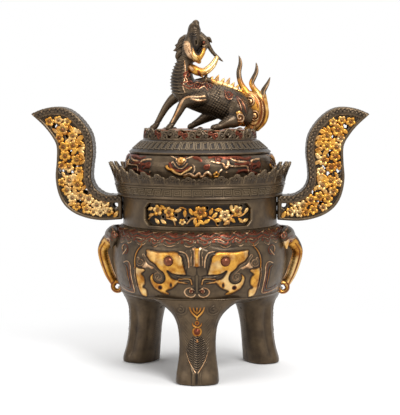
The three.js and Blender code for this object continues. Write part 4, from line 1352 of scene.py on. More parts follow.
def draw_horn(relief):
    line = np.array([(p[0], p[2]) for p in HORN])
    x_along, up_along = (
        np.interp(np.arange(12) / 11, np.linspace(0, 1, len(line)), values) for values in line.T
    )
    for x, up in zip(x_along, up_along):
        relief.stroke([(x - 4, up - 2.2), (x + 4, up + 2.6)], 0.9, -0.45)


def draw_lock(relief):
    relief.areas["gilt"][:] = -FAR
    relief.strokes(
        ([(-13.5, 77.8), (-8, 77.2), (-1.5, 73), (5, 72.6), (12, 77.4), (17, 83.5), (19.4, 88.6)], 1.1, -0.8),
        ([(-11, 72), (-4.5, 68.4), (4.5, 67.4), (13.4, 72.2), (19, 79.6)], 1.1, -0.8),
        ([(-12.5, 76.6), (-8.5, 73)], 3.4, 0.3, "light"),
        ([(-1.5, 71.5), (0.5, 66)], 3.0, 0.3, "copper", 0.6, 1),
    )


def draw_tail(relief):
    relief.areas["gilt"][:] = -FAR
    for centre, radius in (((61.6, 33.2), 6.2), ((67.2, 15.4), 6.6)):
        relief.dot(centre, radius + 0.9, 0.9)
        relief.strokes(
            (spiral(centre, radius, 1.35, 100, -1, 0.2), 2.2, 1.8, "light"),
            (spiral(centre, radius - 1.6, 1.1, 100, -1, 0.3), 1.2, -1.5, "copper"),
        )
        relief.dot(centre, 1.1, 0.9, "light")
    # flowing ridges from the volutes up into the flames, with dark seams between them
    for points in (
        [(60.5, 2.5), (61.4, 14), (58.8, 24), (56.4, 31)], [(58.5, 41.5), (66, 41.8), (70.5, 34), (71.6, 26)],
        [(71.4, 42), (75.4, 33), (76.6, 22), (74.6, 12), (69, 3.6)],
        [(62, 5), (66, 4.2), (71.6, 6.4), (74.8, 13), (76, 22)],
        [(77.8, 39), (79.8, 29), (80.6, 18), (78, 8), (70.5, -0.6)],
    ):
        relief.stroke(points, 1.5, -1.5, "copper", 0.5, 0.5)
    for points in (
        [(73.4, 41), (77.4, 32), (78.4, 20), (76.2, 9.6), (69.5, 1.2)],
        [(61, 42.6), (67.6, 42), (72.8, 34), (74.2, 24), (72.6, 14)],
    ):
        relief.stroke(points, 1.2, 0.8, "light", 0.3, 0.3)


def draw_flames(relief):
    """Gilt at the root, turning to bare olive bronze at the tips."""
    x, up = relief.at.T
    limit = np.where(x < 64, 62, np.where(x < 76, 56, 42)) + 1.4 * np.sin(x * 2.1)
    relief.areas["gilt"] = np.minimum(up - limit, FAR)
    for line in FLAMES:
        path = [(p[0], p[2]) for p in line]
        # between two grooves, a pale line along each flame: a painted highlight
        relief.strokes(
            (np.array(path) + (-0.6, 0), 1.0, -0.75, None, 0.4, 0.5),
            (np.array(path[2:]) + (1.3, 0), 1.5, 0.2, "light", 0.4, 0.5),
            (np.array(path) + (1.3, 0), 0.8, -0.5, None, 0.4, 0.5),
        )


def crest_spikes():
    """The dorsal fin's spikes, leaning back from the spine."""
    parts = [bar([(x, -4.6, up, 3.4, 0.7) for x, up in CREST_BACK], steps=5)]
    spine = np.array(CREST_BACK, float)
    for x, up, width in CREST_TIPS:
        foot = x - 3.4
        level = np.interp(foot, spine[:, 0], spine[:, 1])
        parts.append(
            bar(
                [
                    (foot, -4.6, level - 1, width * 1.05, 0.7),
                    (foot + 1.2, -4.6, (level + up) / 2, width * 0.75, 0.6), (x, -4.6, up - 0.8, 0.55, 0.8),
                ],
                sides=12,
            )
        )
    return parts


def draw_crest(relief):
    relief.areas["gilt"] = np.clip(14 - relief.at[:, 0], -FAR, FAR)
    for x, up, _ in CREST_TIPS:
        relief.strokes(
            ([(x - 4.4, up - 10), (x - 2.6, up - 5), (x - 0.6, up - 2)], 0.9, -0.6, None, 1, 0.3),
            ([(x - 2.4, up - 9), (x - 1.2, up - 5)], 0.7, 0.5, "light", 0.5, 0.3),
        )


def lifted(parts):
    """Bars given above the lid's top, moved up to where the beast stands."""
    return [bar([(s[0], s[1], s[2] + BEAST_Z, *s[3:]) for s in stations]) for stations in parts]


class BURNER_OT_beast(bpy.types.Operator):
    """Make the beast on the lid: body, head, horn, lock, crest, tail and flames"""

    bl_idname = "burner.beast"
    bl_label = "Beast"

    def execute(self, context):
        legs = ["beast_leg_front_near", "beast_leg_front_far", "beast_leg_hind_near", "beast_leg_hind_far"]
        body = lifted([TORSO, FRONT_NEAR, FRONT_FAR, HIND_NEAR, HIND_FAR])
        casting("beast_body", body, draw_beast_body, ["beast_torso", *legs], 0.75)
        head = lifted([SNOUT, JAW, JAW_SIDE, BROW, *NOSTRILS, *MANE])
        casting("beast_head_relief", head, draw_beast_head, ["beast_head", "beast_lower_jaw"], 0.6)
        casting("beast_horn_relief", lifted([HORN, EAR_TIP]), draw_horn, ["beast_horn"], 0.5, 3)
        casting(
            "beast_lock_relief", lifted([LOCK, LOCK_TAIL]), draw_lock, ["beast_mane_lock"], 0.5, 3,
            "gilt",
        )
        casting(
            "beast_tail_relief", lifted([TAIL, TAIL_RIDGE]), draw_tail, ["beast_tail"], 0.65, 3,
            "gilt",
        )
        flames = ["tail_flame_1", "tail_flame_2", "tail_flame_3"]
        casting("tail_flames", lifted(FLAMES), draw_flames, flames, 0.5, 3)
        crest = [(points + (0, 0, BEAST_Z), faces) for points, faces in crest_spikes()]
        casting("crest_relief", crest, draw_crest, ["dorsal_crest"], 0.5, 2)
        return {"FINISHED"}


# Rim, crown, neck and lid


LID_Z = 235.1
NECK_R = 96.0
NECK_MIDDLE = 200.5
WINDOW_R = 90.6
LID_R = 93
VENT_COUNT, VENT_CIRCLE, VENT_R = 12, 49, 4
LID_PROFILE = [
    (93, 0), (93.8, 0.8), (93.8, 3.2), (92.6, 4.2), (93, 9), (94, 17), (94, 23), (93, 28), (91, 32),
    (88.4, 34.8), (86.8, 36), (88.2, 37), (88.2, 38.6), (86.4, 39.8), (81, 44.6), (76, 49), (71, 53),
    (64, 57), (56, 61), (45, 63), (25, 65), (2, 66),
]
LID_INSIDE = [
    (0.5, 62.4), (25, 61.4), (45, 59.4), (60, 54), (70, 48.6), (82, 38), (86, 32), (89.6, 24), (89.4, 0),
]
CLOUD_CORE = [(70.2, 52), (69.4, 54), (65.6, 55), (64.6, 62.5), (66, 64.4), (65.4, 65.2)]
CLOUD_CORE_INSIDE = [(56, 64.4), (54, 60), (60, 54)]
FAN_AT = -19.5
CUP = [
    (-6.2, 32.4), (-5.2, 28.4), (-2.6, 25.6), (0, 24.8), (2.6, 25.6), (5.2, 28.4), (6.2, 32.4), (3, 34.6),
    (-3, 34.6),
]
FAN_BAND = [(-13.6, 26.2), (-11, 21.2), (-5.6, 18.3), (0, 17.6), (5.6, 18.8), (10.6, 22.4)]
FAN_RIM = [
    (-17.4, 22.6), (-15.4, 20.2), (-11, 19), (-6.2, 15.6), (0, 13.7), (4.4, 16.2), (9.6, 19.2), (12.4, 22),
]
FAN_LINE = [(-11.6, 27.4), (-9.6, 28.6), (-5.6, 23.6), (-0.8, 20.6), (4, 22.2), (8, 27)]
FAN_HOOK = [(12.6, 26.6), (15.6, 24), (16.6, 19.6), (14.4, 15.2)]
PALE_WAVE = [(3.6, 12.8), (10.6, 15.2), (16.6, 11.8), (21.7, 15.8), (24.8, 10.8), (30.7, 16.8), (36, 13.4)]
VINES = (
    [
        (36, 29.6), (42.6, 27.6), (50.6, 26.4), (54, 21), (56.8, 28.8), (59, 23.9), (67, 22.8), (81.6, 22.8),
        (84, 15),
    ],
    [(61.3, 32), (69.4, 28.7), (82, 28.4)], [(45, 16), (49, 20)], [(98, 30.8), (106, 31), (114, 32.4)],
    [(86, 25), (91, 29), (98, 30.8)], [(104, 15.4), (110.4, 19.4), (117.2, 16.8), (114.2, 13.6)],
)
RED_SCROLLS = (
    [(34, 34), (45, 35.6), (57, 33.4), (70, 34.6), (82, 31.6), (92, 33.4)],
    [(66, 25.8), (76, 25.4), (84, 26.6), (94, 24.4), (103, 27.4)],
    [(94, 19.6), (101, 23), (108, 25.2), (118, 26), (126, 23.2), (132, 25.6)],
    [(68, 15.2), (76, 18), (86, 16.4), (95, 14.2), (104, 11.8)],
    [(24, 30), (20, 33.6), (12, 35.2)],
)


def spiral_path(width, height, gap):
    """A square spiral from its lower left corner inwards."""
    left, right, low, high = -width / 2, width / 2, -height / 2, height / 2
    points = [(left, low)]
    while True:
        points += [(left, high), (right, high)]
        low += gap
        if high - low < gap or right - left < 2 * gap:
            return points
        points += [(right, low), (left + gap, low)]
        left, high, right = left + gap, high - gap, right - gap


def placed_strip(name, points, width, height, place, soot_and_shade=0.0):
    """A strip mapped by a function of (across, up, out)."""
    vertices, faces = strip(points, width, height)
    mesh = raw_mesh(name, np.stack(place(*vertices.T), -1), faces)
    mesh.attributes.new("areas", "FLOAT_COLOR", "POINT").data.foreach_set(
        "color", np.tile([0, 0, 0, soot_and_shade], len(vertices)),
    )
    return mesh


def on_slope(low, high, arc_radius):
    """Places on a sloping band between two (radius, height) points; up runs from 0 to 1 along the slope."""
    low, high = np.array(low, float), np.array(high, float)
    way = (high - low) / np.linalg.norm(high - low)

    def place(across, up, out):
        r = low[0] + (high[0] - low[0]) * up + out * way[1]
        turn = across / arc_radius
        return r * np.sin(turn), -r * np.cos(turn), low[1] + (high[1] - low[1]) * up - out * way[0]
    return place


def draw_lappet(relief):
    """A cloud-shaped lappet with two curled side lobes."""
    across, up = relief.at.T
    half = [
        (9.2, -1), (9.2, 9), (9.4, 13), (8.2, 16.6), (6, 18), (4.4, 17.4), (3.9, 19.4), (2.6, 22.6),
        (1.1, 24),
    ]
    relief.plate([(-x, y) for x, y in half] + half[::-1], 0.1, 1.0, smooth=False)
    relief.pairs(
        (spiral((5.5, 12.4), 3.4, 1.15, 80, -1, 0.2), 1.9, 1.2),
        ([(8.4, 1), (8.2, 6), (6.4, 8.6)], 1.7, 1.0, None, 1, 0.5),
        ([(3.4, 2), (3.2, 8), (2.6, 14), (0, 18.6)], 1.5, 1.2, None, 0.6, 1),
    )
    relief.stroke([(0, 19), (0, 23)], 1.8, 1.2, None, 1, 0.5)
    relief.dot((0, 11.4), 1.7, 1.3)
    relief.cut([(-0.8, 15), (0, 17), (0.8, 15), (0, 13.6)])
    # darker towards the foot of the lappet
    relief.soot_and_shade += 0.25 * rise((up - 14) / -8)


def draw_plain(turn, r, z):
    return Relief(turn * 100, z)


def draw_collar(turn, r, z):
    relief = Relief(turn * 104, z)
    for level in (221.6, 233.0):
        relief.height += 0.5 * rise(1 - np.abs(z - level) / 0.8)
    return relief


def draw_lid(turn, r, z):
    """Fans, scrolls and vines round the side, four times."""
    height = z - LID_Z
    relief = Relief((turn * LID_R - FAN_AT + 40) % (LID_R * math.pi / 2) - 40, height)
    for points in RED_SCROLLS:
        relief.stroke(points, 6.2, 1.2, "copper", 0.5, 0.4)
    for centre, radius, hand in (
        ((45, 31.6), 4.2, 1), ((86, 21), 4.4, -1), ((70, 31), 3.6, 1), ((101, 24), 4.2, -1),
        ((118, 21), 4.4, 1), ((30, 23), 3.6, -1),
    ):
        relief.stroke(spiral(centre, radius, 1.3, 40, hand, 0.2), 2.0, 1.3, "copper", groove=0.4)
    for points in VINES:
        relief.stroke(points, 2.7, 1.9, "light", 0.6, 0.5)
    relief.strokes(
        ([(51, 24.6), (54, 20.6), (57, 24.6)], 3.0, 1.7, "light"),
        # the fan: gilt cup, copper band, gilt rim and the rays
        (FAN_BAND, 6.0, 0.9, "copper", 0.7, 0.7),
        (FAN_RIM, 4.4, 1.8, "gilt", 1.1, 0.7),
        (FAN_LINE, 1.2, 1.6, "light"),
        (FAN_HOOK, 1.5, 1.3, "light", 0.4, 0.6),
    )
    relief.plate(CUP, 2.2, 3.0, "gilt")
    relief.stroke(CUP[:7], 1.4, 1.9, "light")
    relief.dot((0, 29.6), 1.4, -0.8)
    for end in ((21, 38), (-20, 37), (9, 38.5), (-8, 38.5)):
        relief.stroke(
            [(end[0] * 0.33, 32.5), end], 1.1, 0.9, "light" if abs(end[0]) > 15 else "copper", 1, 0.3,
        )
    relief.strokes(
        (np.array(PALE_WAVE) - (0, 1.8), 3.4, 0.8, "gilt"),
        (PALE_WAVE, 2.4, 1.5, "light"),
    )
    # a blossom beside the wave, and a drop
    for angle in range(5):
        way = math.radians(72 * angle + 20)
        relief.dot((42 + 2.5 * math.cos(way), 13.2 + 2.5 * math.sin(way)), 2.0, 1.4, "gilt")
    relief.dot((42, 13.2), 1.0, -0.6, "copper")
    relief.stroke([(70, 19.4), (70, 15.8)], 2.4, 1.2, "copper", 0.6, 1)
    relief.dot((54.5, 16.2), 1.1, 1.0, "light")
    for index in range(6):
        relief.dot((84 + index * 3, 27.6 - index * 0.7), 1.3, 1.4, "copper")
    # painted shade on the shell between the lines of the fret
    relief.soot_and_shade += 0.85 * rise((height - 38.6) / 0.6) * rise((53.4 - height) / 0.6)
    relief.height *= rise((height - 9) / 2) * rise((36 - height) / 2)
    relief.only((height > 9) & (height < 36.5))
    return relief


def draw_cloud_unit(relief):
    """Curling clouds of the plinth, with gaps between the curls."""
    relief.plate([(-18.4, -1), (18.4, -1), (18.4, 2.4), (-18.4, 2.4)], 0.1, 1.0, smooth=False)
    for centre, radius, start, hand in (
        ((-13.6, 5.6), 3.6, 250, -1), ((-5.4, 7.4), 4.4, 290, 1), ((2.6, 5.2), 3.4, 200, -1),
        ((8.4, 8.4), 3.0, 120, 1), ((14.2, 5.4), 3.8, 250, -1),
    ):
        relief.stroke(
            spiral(centre, radius, 1.2, start, hand, 0.15), 2.2, 1.2, "copper" if centre[0] > 5 else None,
            groove=0.3,
        )
    for points in (
        [(-18.4, 3), (-17.4, 8), (-14, 10.6), (-10, 9.6)],
        [(-10.4, 2), (-10, 8), (-6, 12.6), (-1, 11.4), (3, 9)], [(4.4, 10.4), (8, 12.4), (13, 11.4)],
        [(17.8, 2), (17.8, 7), (15.4, 10.6)], [(-2, 1), (0, 9.6)], [(7, 2), (10.6, 5)],
    ):
        relief.stroke(points, 2.0, 0.9, None, 1, 0.4)
    relief.soot_and_shade += 0.3


def neck_outline():
    """Corner-cut window outline as arcs on the neck, from its centre."""
    half = NECK_R * math.asin(64 / NECK_R)
    return [
        (-half, -7), (-half, 7), (-half + 6.5, 13.5), (half - 6.5, 13.5), (half, 7), (half, -7),
        (half - 6.5, -13.5), (-half + 6.5, -13.5),
    ]


def draw_neck(relief):
    """A raised double border round the windows; across is the arc from the front, up from their middle."""
    across, up = relief.at.T
    relief.extent[:] = -FAR
    outline = np.array(neck_outline())
    girth = 2 * math.pi * NECK_R
    for middle in (0, girth / 2, girth):
        points = outline + (middle, 0)
        gap = signed_distance(relief.at, points)
        relief.extent = np.maximum(relief.extent, -gap)
        relief.height += 0.9 * rise(1 - np.abs(gap - 1.1) / 1.0) + 0.45 * rise(1 - np.abs(gap - 3.2) / 0.7)
    relief.height += 0.5 * rise(1 - np.abs(np.abs(up) - 16.8) / 0.9)


def neck_mesh():
    """The neck as a wall with its two windows cut through."""
    step = 1.0
    wide = int(2 * math.pi * NECK_R / step / 4) * 4
    across, up = np.meshgrid(np.arange(wide) * 2 * math.pi * NECK_R / wide, np.linspace(-18.2, 18.5, 38))
    relief = Relief(across.ravel(), up.ravel())
    draw_neck(relief)
    distance = relief.extent.reshape(across.shape)
    ahead = np.roll(distance, -1, 1)
    keep = (distance[1:] + distance[:-1] + ahead[1:] + ahead[:-1]) / 4 < 0
    padded = np.pad(np.hstack([keep[:, -1:], keep]), ((1, 1), (0, 0)), mode="edge")
    x, y = snapped(across, up, distance, cells_at_corners(padded), step)
    radii = (NECK_R + relief.height, np.full(len(x), NECK_R - 5))
    lots = [round_axis(x / NECK_R, r, y + NECK_MIDDLE) for r in radii]
    vertices, faces, used = packed(np.vstack(lots), thick_sheet(keep, True))
    mesh = raw_mesh("neck", vertices, faces)
    sooted_and_shaded(mesh, relief, np.where(used < len(x), used, -1))
    return mesh


class BURNER_OT_rim(bpy.types.Operator):
    """Make the collar with its fret, the crown of lappets and the neck with its windows"""

    bl_idname = "burner.rim"
    bl_label = "Neck, collar and crown"

    def execute(self, context):
        bronze = finish("bronze")
        placed("neck_relief", neck_mesh(), VESSEL, bronze, ["neck"])
        collar = [
            (101.6, 219.3), (102.9, 219.7), (102.9, 221.2), (102.2, 221.8), (105.0, 232.2), (106.2, 232.8),
            (106.2, 234.4), (105.8, 234.8),
        ]
        turned_piece(
            "collar_relief", along_profile(collar, 1.2), [(86, 234.8), (86, 219.3)], 288, draw_collar, VESSEL,
            bronze, ["collar"],
        )
        band = on_ring(lambda up: 102.3 + (up - 221.8) * 0.27)

        def place(across, up, out):
            return band(across, up + 227.1, out)
        key = placed_strip("fret", spiral_path(9.8, 8.2, 1.95), 1.0, 0.75, place)
        placed("collar_fret", ringed(key, 54, bronze), VESSEL, bronze, smooth=False)
        base = [(106, LID_Z), (106.4, 236.4), (106.2, 238)]
        turned_piece(
            "crown_base", along_profile(base, 1.0), [(102.9, 238), (102.9, LID_Z)], 288, draw_plain, VESSEL,
            bronze, ["crown"],
        )
        lean = on_ring(lambda up: 104.4 + 9 * np.clip(up / 25, 0, 1) ** 1.6)
        lappet = cut_sheet("lappet", draw_lappet, (-10.5, -1.5), (10.5, 25), 0.85, 3.0, lean, both=True)
        placed(
            "crown_lappets", ringed(lappet, 36, bronze, math.radians(5), 236.0, 0.44), VESSEL,
            bronze,
        )
        return {"FINISHED"}


class BURNER_OT_lid(bpy.types.Operator):
    """Make the lid with its smoke holes, fans, scrolls and fret, and the plinth of clouds"""

    bl_idname = "burner.lid"
    bl_label = "Lid"

    def execute(self, context):
        bronze = finish("bronze")
        shell = np.array(LID_PROFILE, float) + (0, LID_Z)
        outer = along_profile(shell, 1.1)
        inner = np.array(LID_INSIDE) + (0, LID_Z)
        outer = np.vstack([outer, [(0.5, LID_Z + 66)]])
        turns = [2 * math.pi * (index + 0.5) / VENT_COUNT for index in range(VENT_COUNT)]
        vents = [
            (VENT_CIRCLE * math.cos(turn), VENT_CIRCLE * math.sin(turn), VENT_R, LID_Z + 50, LID_Z + 72)
            for turn in turns
        ]
        turned_piece("lid_relief", outer, inner, 504, draw_lid, LID, bronze, ["lid_shell"], vents)
        slope = on_slope((86.2, LID_Z + 39.9), (71.4, LID_Z + 52.7), 79)

        def place(across, up, out):
            return slope(across, 0.5 + up / 19.6, out)
        # the fret strips darkened with painted shade
        key = placed_strip("lid_fret", spiral_path(6.9, 14.2, 2.0), 0.95, 0.8, place, 0.35)
        placed("lid_fret", ringed(key, 58, bronze), LID, bronze, smooth=False)
        core, back = along_profile(
            np.array(CLOUD_CORE) + (0, LID_Z), 1.5,
        ), np.array(CLOUD_CORE_INSIDE) + (0, LID_Z)
        turned_piece(
            "cloud_core", core, back, 240, draw_plain, LID, finish("copper"), ["cloud_ring"],
        )
        lean = on_ring(lambda up: 68.9 - 0.1 * up)
        unit = cut_sheet("clouds", draw_cloud_unit, (-19, -1.5), (19, 14), 0.8, 2.6, lean, both=True)
        placed("cloud_units", ringed(unit, 12, bronze, 0.1, LID_Z + 53.4), LID, bronze)
        return {"FINISHED"}


# Handles and windows: pierced grounds with gilt foliage


HANDLE_X, HANDLE_Z = 96.0, 188.0
SPINE = [
    (113, 131.5), (98, 137.5), (81.5, 140), (68, 137.5), (56, 129.5), (45, 117), (38, 103), (36, 84),
    (38, 66), (38.5, 51), (33, 39), (22, 31.8), (12, 30.8), (0.6, 30.7),
]
EDGE = [
    (0.6, 0.8), (26, -0.5), (45, 2.5), (61, 9), (73, 19.5), (80, 34), (83, 53), (81.5, 73), (81.5, 92),
    (88, 105), (98, 117.5), (113, 131.5),
]
HANDLE_GAPS = [
    (67, 103.7), (65.1, 83.6), (58.3, 65.4), (63.9, 57.6), (75.8, 61.6), (46.1, 34.7), (53.5, 23.1),
    (8.8, 18.4), (12.5, 9.8), (84, 116),
]
HANDLE_FLOWERS = [
    (73.9, 112.3, 8), (61.4, 104.5, 6.6), (61.2, 92.3, 7), (78.1, 101.8, 6), (72.8, 90.6, 7),
    (71.1, 79.4, 7.2), (57, 74.6, 7), (75.5, 68, 5.6), (66.3, 65.5, 6.6), (53.7, 60.7, 6), (66.1, 49.1, 7.4),
    (75.6, 46.9, 5.6), (56, 43.5, 7.4), (69.2, 36.6, 6.6), (62.5, 27.4, 6.6), (51.9, 30, 6.4),
    (41.8, 25.9, 7), (57.3, 16.4, 5.6), (44.7, 13.4, 6.4), (21.6, 22.2, 6.8), (31.8, 18.4, 7),
    (16.5, 10.7, 6.4), (27.8, 9.2, 5.8), (36, 9.7, 5), (90, 122, 6.2), (79, 124, 5.6), (68, 122, 5.4),
]
WINDOW_FLOWERS = [
    (-52.3, 5.2, 7.6), (-35.9, 3.3, 7.4), (3.7, 3.6, 9.2), (34.5, -0.3, 8.2), (51.3, 4.6, 7.8),
    (-18.7, -8.0, 4.4),
]
WINDOW_LEAVES = [
    (-7.8, 4.5), (17, 4.5), (-2.7, -7), (4.9, -8), (11.7, -7), (0.5, -11), (25.6, -5.9), (36.8, -9.3),
    (45.1, -6.3), (57.1, -7.5), (-53.3, -8.2), (-44, -8.5), (-62.5, -1), (65.6, 4.7), (-24.3, 5.5),
    (26.4, 6.7), (21.7, 0.1), (-15.4, 2.1), (-63.9, 6.5), (64, -7.3), (-30, -4.6), (43.4, 8.6), (-44.5, 8.8),
]
WINDOW_STEMS = (
    [(-67.7, -6.7), (-63, -2.3), (-57.2, 1)], [(-24.3, 6.9), (-19.3, 9.3), (-14, 7)],
    [(-39.6, -3.9), (-30.3, -6.3), (-28, -12.8)], [(13.5, -1.7), (21.9, -6.3), (25.3, -12.8)],
    [(53.5, -2.7), (60.8, -0.3), (68.9, 5.5)], [(-13, -10), (-7, -4), (0, -3)],
    [(40, -11), (43, -3), (49, 0)],
)


def rosette(shares, segments, radius_of, lift_of, depth):
    """A closed round ornament facing -Y, a millimetre in radius; its outline and height follow the angle."""
    turn = np.arange(segments) / segments * 2 * math.pi
    radius = radius_of(turn)
    rings = [
        (share * radius, lift_of(turn, share)) for share in shares
    ] + [(radius * 0.96, np.full(segments, -depth))]
    vertices = [np.stack([r * np.cos(turn), -lift, r * np.sin(turn)], -1) for r, lift in rings]
    vertices.append([(0, -float(lift_of(np.zeros(1), 0.0)[0]), 0), (0, depth, 0)])
    count = len(rings) * segments
    faces = []
    for k in range(segments):
        after = (k + 1) % segments
        for ring in range(len(rings) - 1):
            a, b = ring * segments, (ring + 1) * segments
            faces.append((a + k, b + k, b + after, a + after))
        faces += [(count, k, after), (count + 1, count - segments + after, count - segments + k)]
    return np.vstack(vertices), faces


def painted_unit(name, vertices, faces, heart=0.0):
    """A unit whose heart, within a share of its radius, is copper red."""
    mesh = raw_mesh(name, vertices, faces)
    far = np.hypot(vertices[:, 0], vertices[:, 2])
    relief = Relief(vertices[:, 0], vertices[:, 2])
    relief.areas["copper"] = (far - heart) * 9
    # soot and painted shade in the crease, and painted shade on each unit's back
    groove = 0.75 * rise(1 - np.abs(far - 0.3) / 0.14) if heart else 0.6 * rise(
        0.12 - np.abs(vertices[:, 2]) * 2
    )
    paint_areas(mesh, relief, groove + 0.5 * (vertices[:, 1] > -0.02))
    return mesh


def flower_mesh():
    """A five-petalled blossom with a boss in the middle and creased petals."""
    def petal(turn):
        return np.abs(np.cos(2.5 * turn))

    def edge(turn):
        return 0.66 + 0.34 * petal(turn) ** 0.6

    def lift(turn, share):
        level = np.interp(share, [0, 0.16, 0.3, 0.55, 0.82, 1], [0.34, 0.3, 0.12, 0.27, 0.3, 0.1])
        return level * (1 if share < 0.2 else 0.55 + 0.45 * petal(turn)) + 0 * turn
    return painted_unit("blossom", *rosette((0.16, 0.3, 0.55, 0.82, 1.0), 30, edge, lift, 0.22), 0.2)


def leaf_mesh():
    """A pointed leaf with a midrib."""
    def edge(turn):
        oval = 1 / np.sqrt(np.cos(turn) ** 2 + (np.sin(turn) / 0.5) ** 2)
        return oval * (1 - 0.16 * np.abs(np.sin(2 * turn)))

    def lift(turn, share):
        return np.interp(share, [0, 0.4, 0.8, 1], [0.14, 0.26, 0.22, 0.06]) + 0 * turn
    return painted_unit("leaf", *rosette((0.4, 0.8, 1.0), 16, edge, lift, 0.2))


def foliage(name, flowers, leaves, put, seed):
    """Blossoms and leaves: put maps (across, up) to a place and the angle about Z that it faces."""
    rng = np.random.default_rng(seed)
    gilt = finish("gilt")
    meshes = []
    for unit, entries in ((flower_mesh(), flowers), (leaf_mesh(), leaves)):
        places, ways, sizes = [], [], []
        for across, up, size, *given_turn in entries:
            place, facing = put(across, up)
            turn = given_turn[0] if given_turn else rng.uniform(0, 2 * math.pi)
            places.append(place)
            ways.append((rng.uniform(-0.12, 0.12), turn, facing))
            sizes.append(size)
        meshes.append(sprayed(unit, places, ways, sizes, gilt))
    placed(name, joined_meshes(name, meshes), VESSEL, gilt)


def filled(flowers, allowed, low, high, gap, size, seed):
    """Leaves scattered between the flowers wherever the ground allows."""
    rng = np.random.default_rng(seed)
    taken = [(f[0], f[1], f[2] * 0.72) for f in flowers]
    leaves = []
    tries = rng.uniform(low, high, (2600, 2))
    for at, fine in zip(tries, allowed(tries)):
        if not fine or any(math.hypot(at[0] - t[0], at[1] - t[1]) < t[2] + gap for t in taken):
            continue
        near = min(flowers, key=lambda f: math.hypot(at[0] - f[0], at[1] - f[1]))
        away = math.atan2(at[1] - near[1], at[0] - near[0])
        leaves.append((at[0], at[1], size * rng.uniform(0.8, 1.2), -away + rng.uniform(-0.6, 0.6)))
        taken.append((at[0], at[1], gap * 0.5))
    return leaves


def handle_distances(at):
    """Signed distances to the handle's outline and opening, and the distance to and way along the edge."""
    spine, edge = smooth_path(SPINE, 4), smooth_path(EDGE, 4)
    whole = signed_distance(at, np.vstack([edge, spine[1:]]), 80.0)
    from_spine, along = path_distance(at, spine, False, 80.0)
    from_edge, _ = path_distance(at, edge, False, 80.0)
    length = np.linalg.norm(np.diff(spine, axis=0), axis=1).sum()
    opening = np.minimum(np.minimum(from_spine - 9.4, from_edge - 3.4), np.minimum(at[:, 0] - 4.4, -whole))
    return whole, opening, from_spine, along * length


def draw_handle_frame(relief):
    """Overlapping leaves carved along the inner edge, a fine light line and a plain rim."""
    whole, opening, gap, way = handle_distances(relief.at)
    relief.extent = np.maximum(whole, opening)
    band = rise(gap / 1.6) * rise((8.2 - gap) / 1.2)
    scales = band * scale_pattern(way, gap, 5.4)
    relief.height = 0.9 * band - scales - 0.9 * rise(1 + relief.extent / 1.3)
    relief.height += 0.5 * rise(1 - np.abs(gap - 9.0) / 0.7)
    relief.areas["light"] = np.minimum(np.abs(gap - 9.0) - 0.25, FAR)
    # pale flecks on the leaves: painted highlights
    highlight_fleck = np.abs((way % 5.4) - 2.7) + np.abs(gap - 4.2 + 1.4 * np.sin(way * 0.58)) * 0.8
    relief.areas["light"] = np.minimum(relief.areas["light"], highlight_fleck - 0.75)
    # soot and painted shade in the lines between the leaves
    relief.soot_and_shade = 0.35 * scales


def handle_wall(across, up, out):
    """The same leaves over the outer walls, none inside the opening."""
    whole, _, gap, way = handle_distances(np.stack([across, up], -1))
    outer = np.abs(whole) < 1.5
    leaves = 0.55 - 1.1 * scale_pattern(way, np.full(len(way), out + 20.0), 6.0)
    return np.where(outer & (gap < 4) & (way < 182), leaves * rise((17 - abs(out)) / 2), 0)


def draw_handle_ground(relief):
    """The ground of the foliage, painted dark as shade, with its few gaps."""
    across, up = relief.at.T
    whole, opening, _, _ = handle_distances(relief.at)
    relief.extent = np.maximum(-opening - 0.8, whole + 2)
    for x, y in HANDLE_GAPS:
        relief.extent = np.maximum(
            relief.extent, 3.3 - np.linalg.norm((relief.at - (x, y)) * (1, 0.8), axis=1),
        )
    relief.height -= 0.5 * scale_pattern(across, up, 4.2)
    # painted shade: the whole ground is darkened
    relief.soot_and_shade += 0.9


def on_handle(middle):
    """Places on a sheet across the handle; middle is its distance in front of the middle plane."""
    return lambda across, up, out: (HANDLE_X + across, -(middle + out), HANDLE_Z + up)


def flipped(mesh, axis):
    """The mirror image over the plane x = 0 or y = 0."""
    work = bmesh.new()
    work.from_mesh(mesh)
    for corner in work.verts:
        corner.co[axis] = -corner.co[axis]
    bmesh.ops.reverse_faces(work, faces=work.faces)
    return mesh_of(work, mesh.name)


class BURNER_OT_handles(bpy.types.Operator):
    """Make the two handles with their carved frames and gilt foliage"""

    bl_idname = "burner.handles"
    bl_label = "Handles"

    def execute(self, context):
        bronze = finish("bronze")
        low, high = (-2, -4), (116, 143)
        frame_mesh = cut_sheet(
            "handle", draw_handle_frame, low, high, 0.9, 34.0, on_handle(0), both=True, levels=12,
            wall_relief=handle_wall,
        )
        ground = cut_sheet("ground", draw_handle_ground, low, high, 1.0, 1.8, on_handle(13.4), both=True)

        def allowed(at):
            _, opening, _, _ = handle_distances(at)
            clear = opening > 2.2
            for x, y in HANDLE_GAPS:
                clear &= np.hypot(at[:, 0] - x, at[:, 1] - y) > 5.2
            return clear
        flowers = [(x, y, size * 1.08) for x, y, size in HANDLE_FLOWERS]
        leaves = filled(flowers, allowed, (2, 2), (112, 138), 2.4, 6.0, 11)
        for side in (1, -1):
            name = "right" if side > 0 else "left"
            mesh = frame_mesh if side > 0 else flipped(frame_mesh, 0)
            placed(f"handle_{name}", mesh.copy(), VESSEL, bronze, [f"handle_frame_{name}"])
            for face, where in ((1, "front"), (-1, "rear")):
                sheet = ground if face > 0 else flipped(ground, 1)
                sheet = sheet if side > 0 else flipped(sheet, 0)
                placed(
                    f"handle_ground_{name}_{where}", sheet.copy(), VESSEL, bronze,
                    [f"handle_panel_{name}_{where}"],
                )

                def put(across, up):
                    return (
                        side * (HANDLE_X + across), -face * 14.9, HANDLE_Z + up,
                    ), 0.0 if face > 0 else math.pi
                foliage(f"handle_foliage_{name}_{where}", flowers, leaves, put, 5 + side + 2 * face)
        return {"FINISHED"}


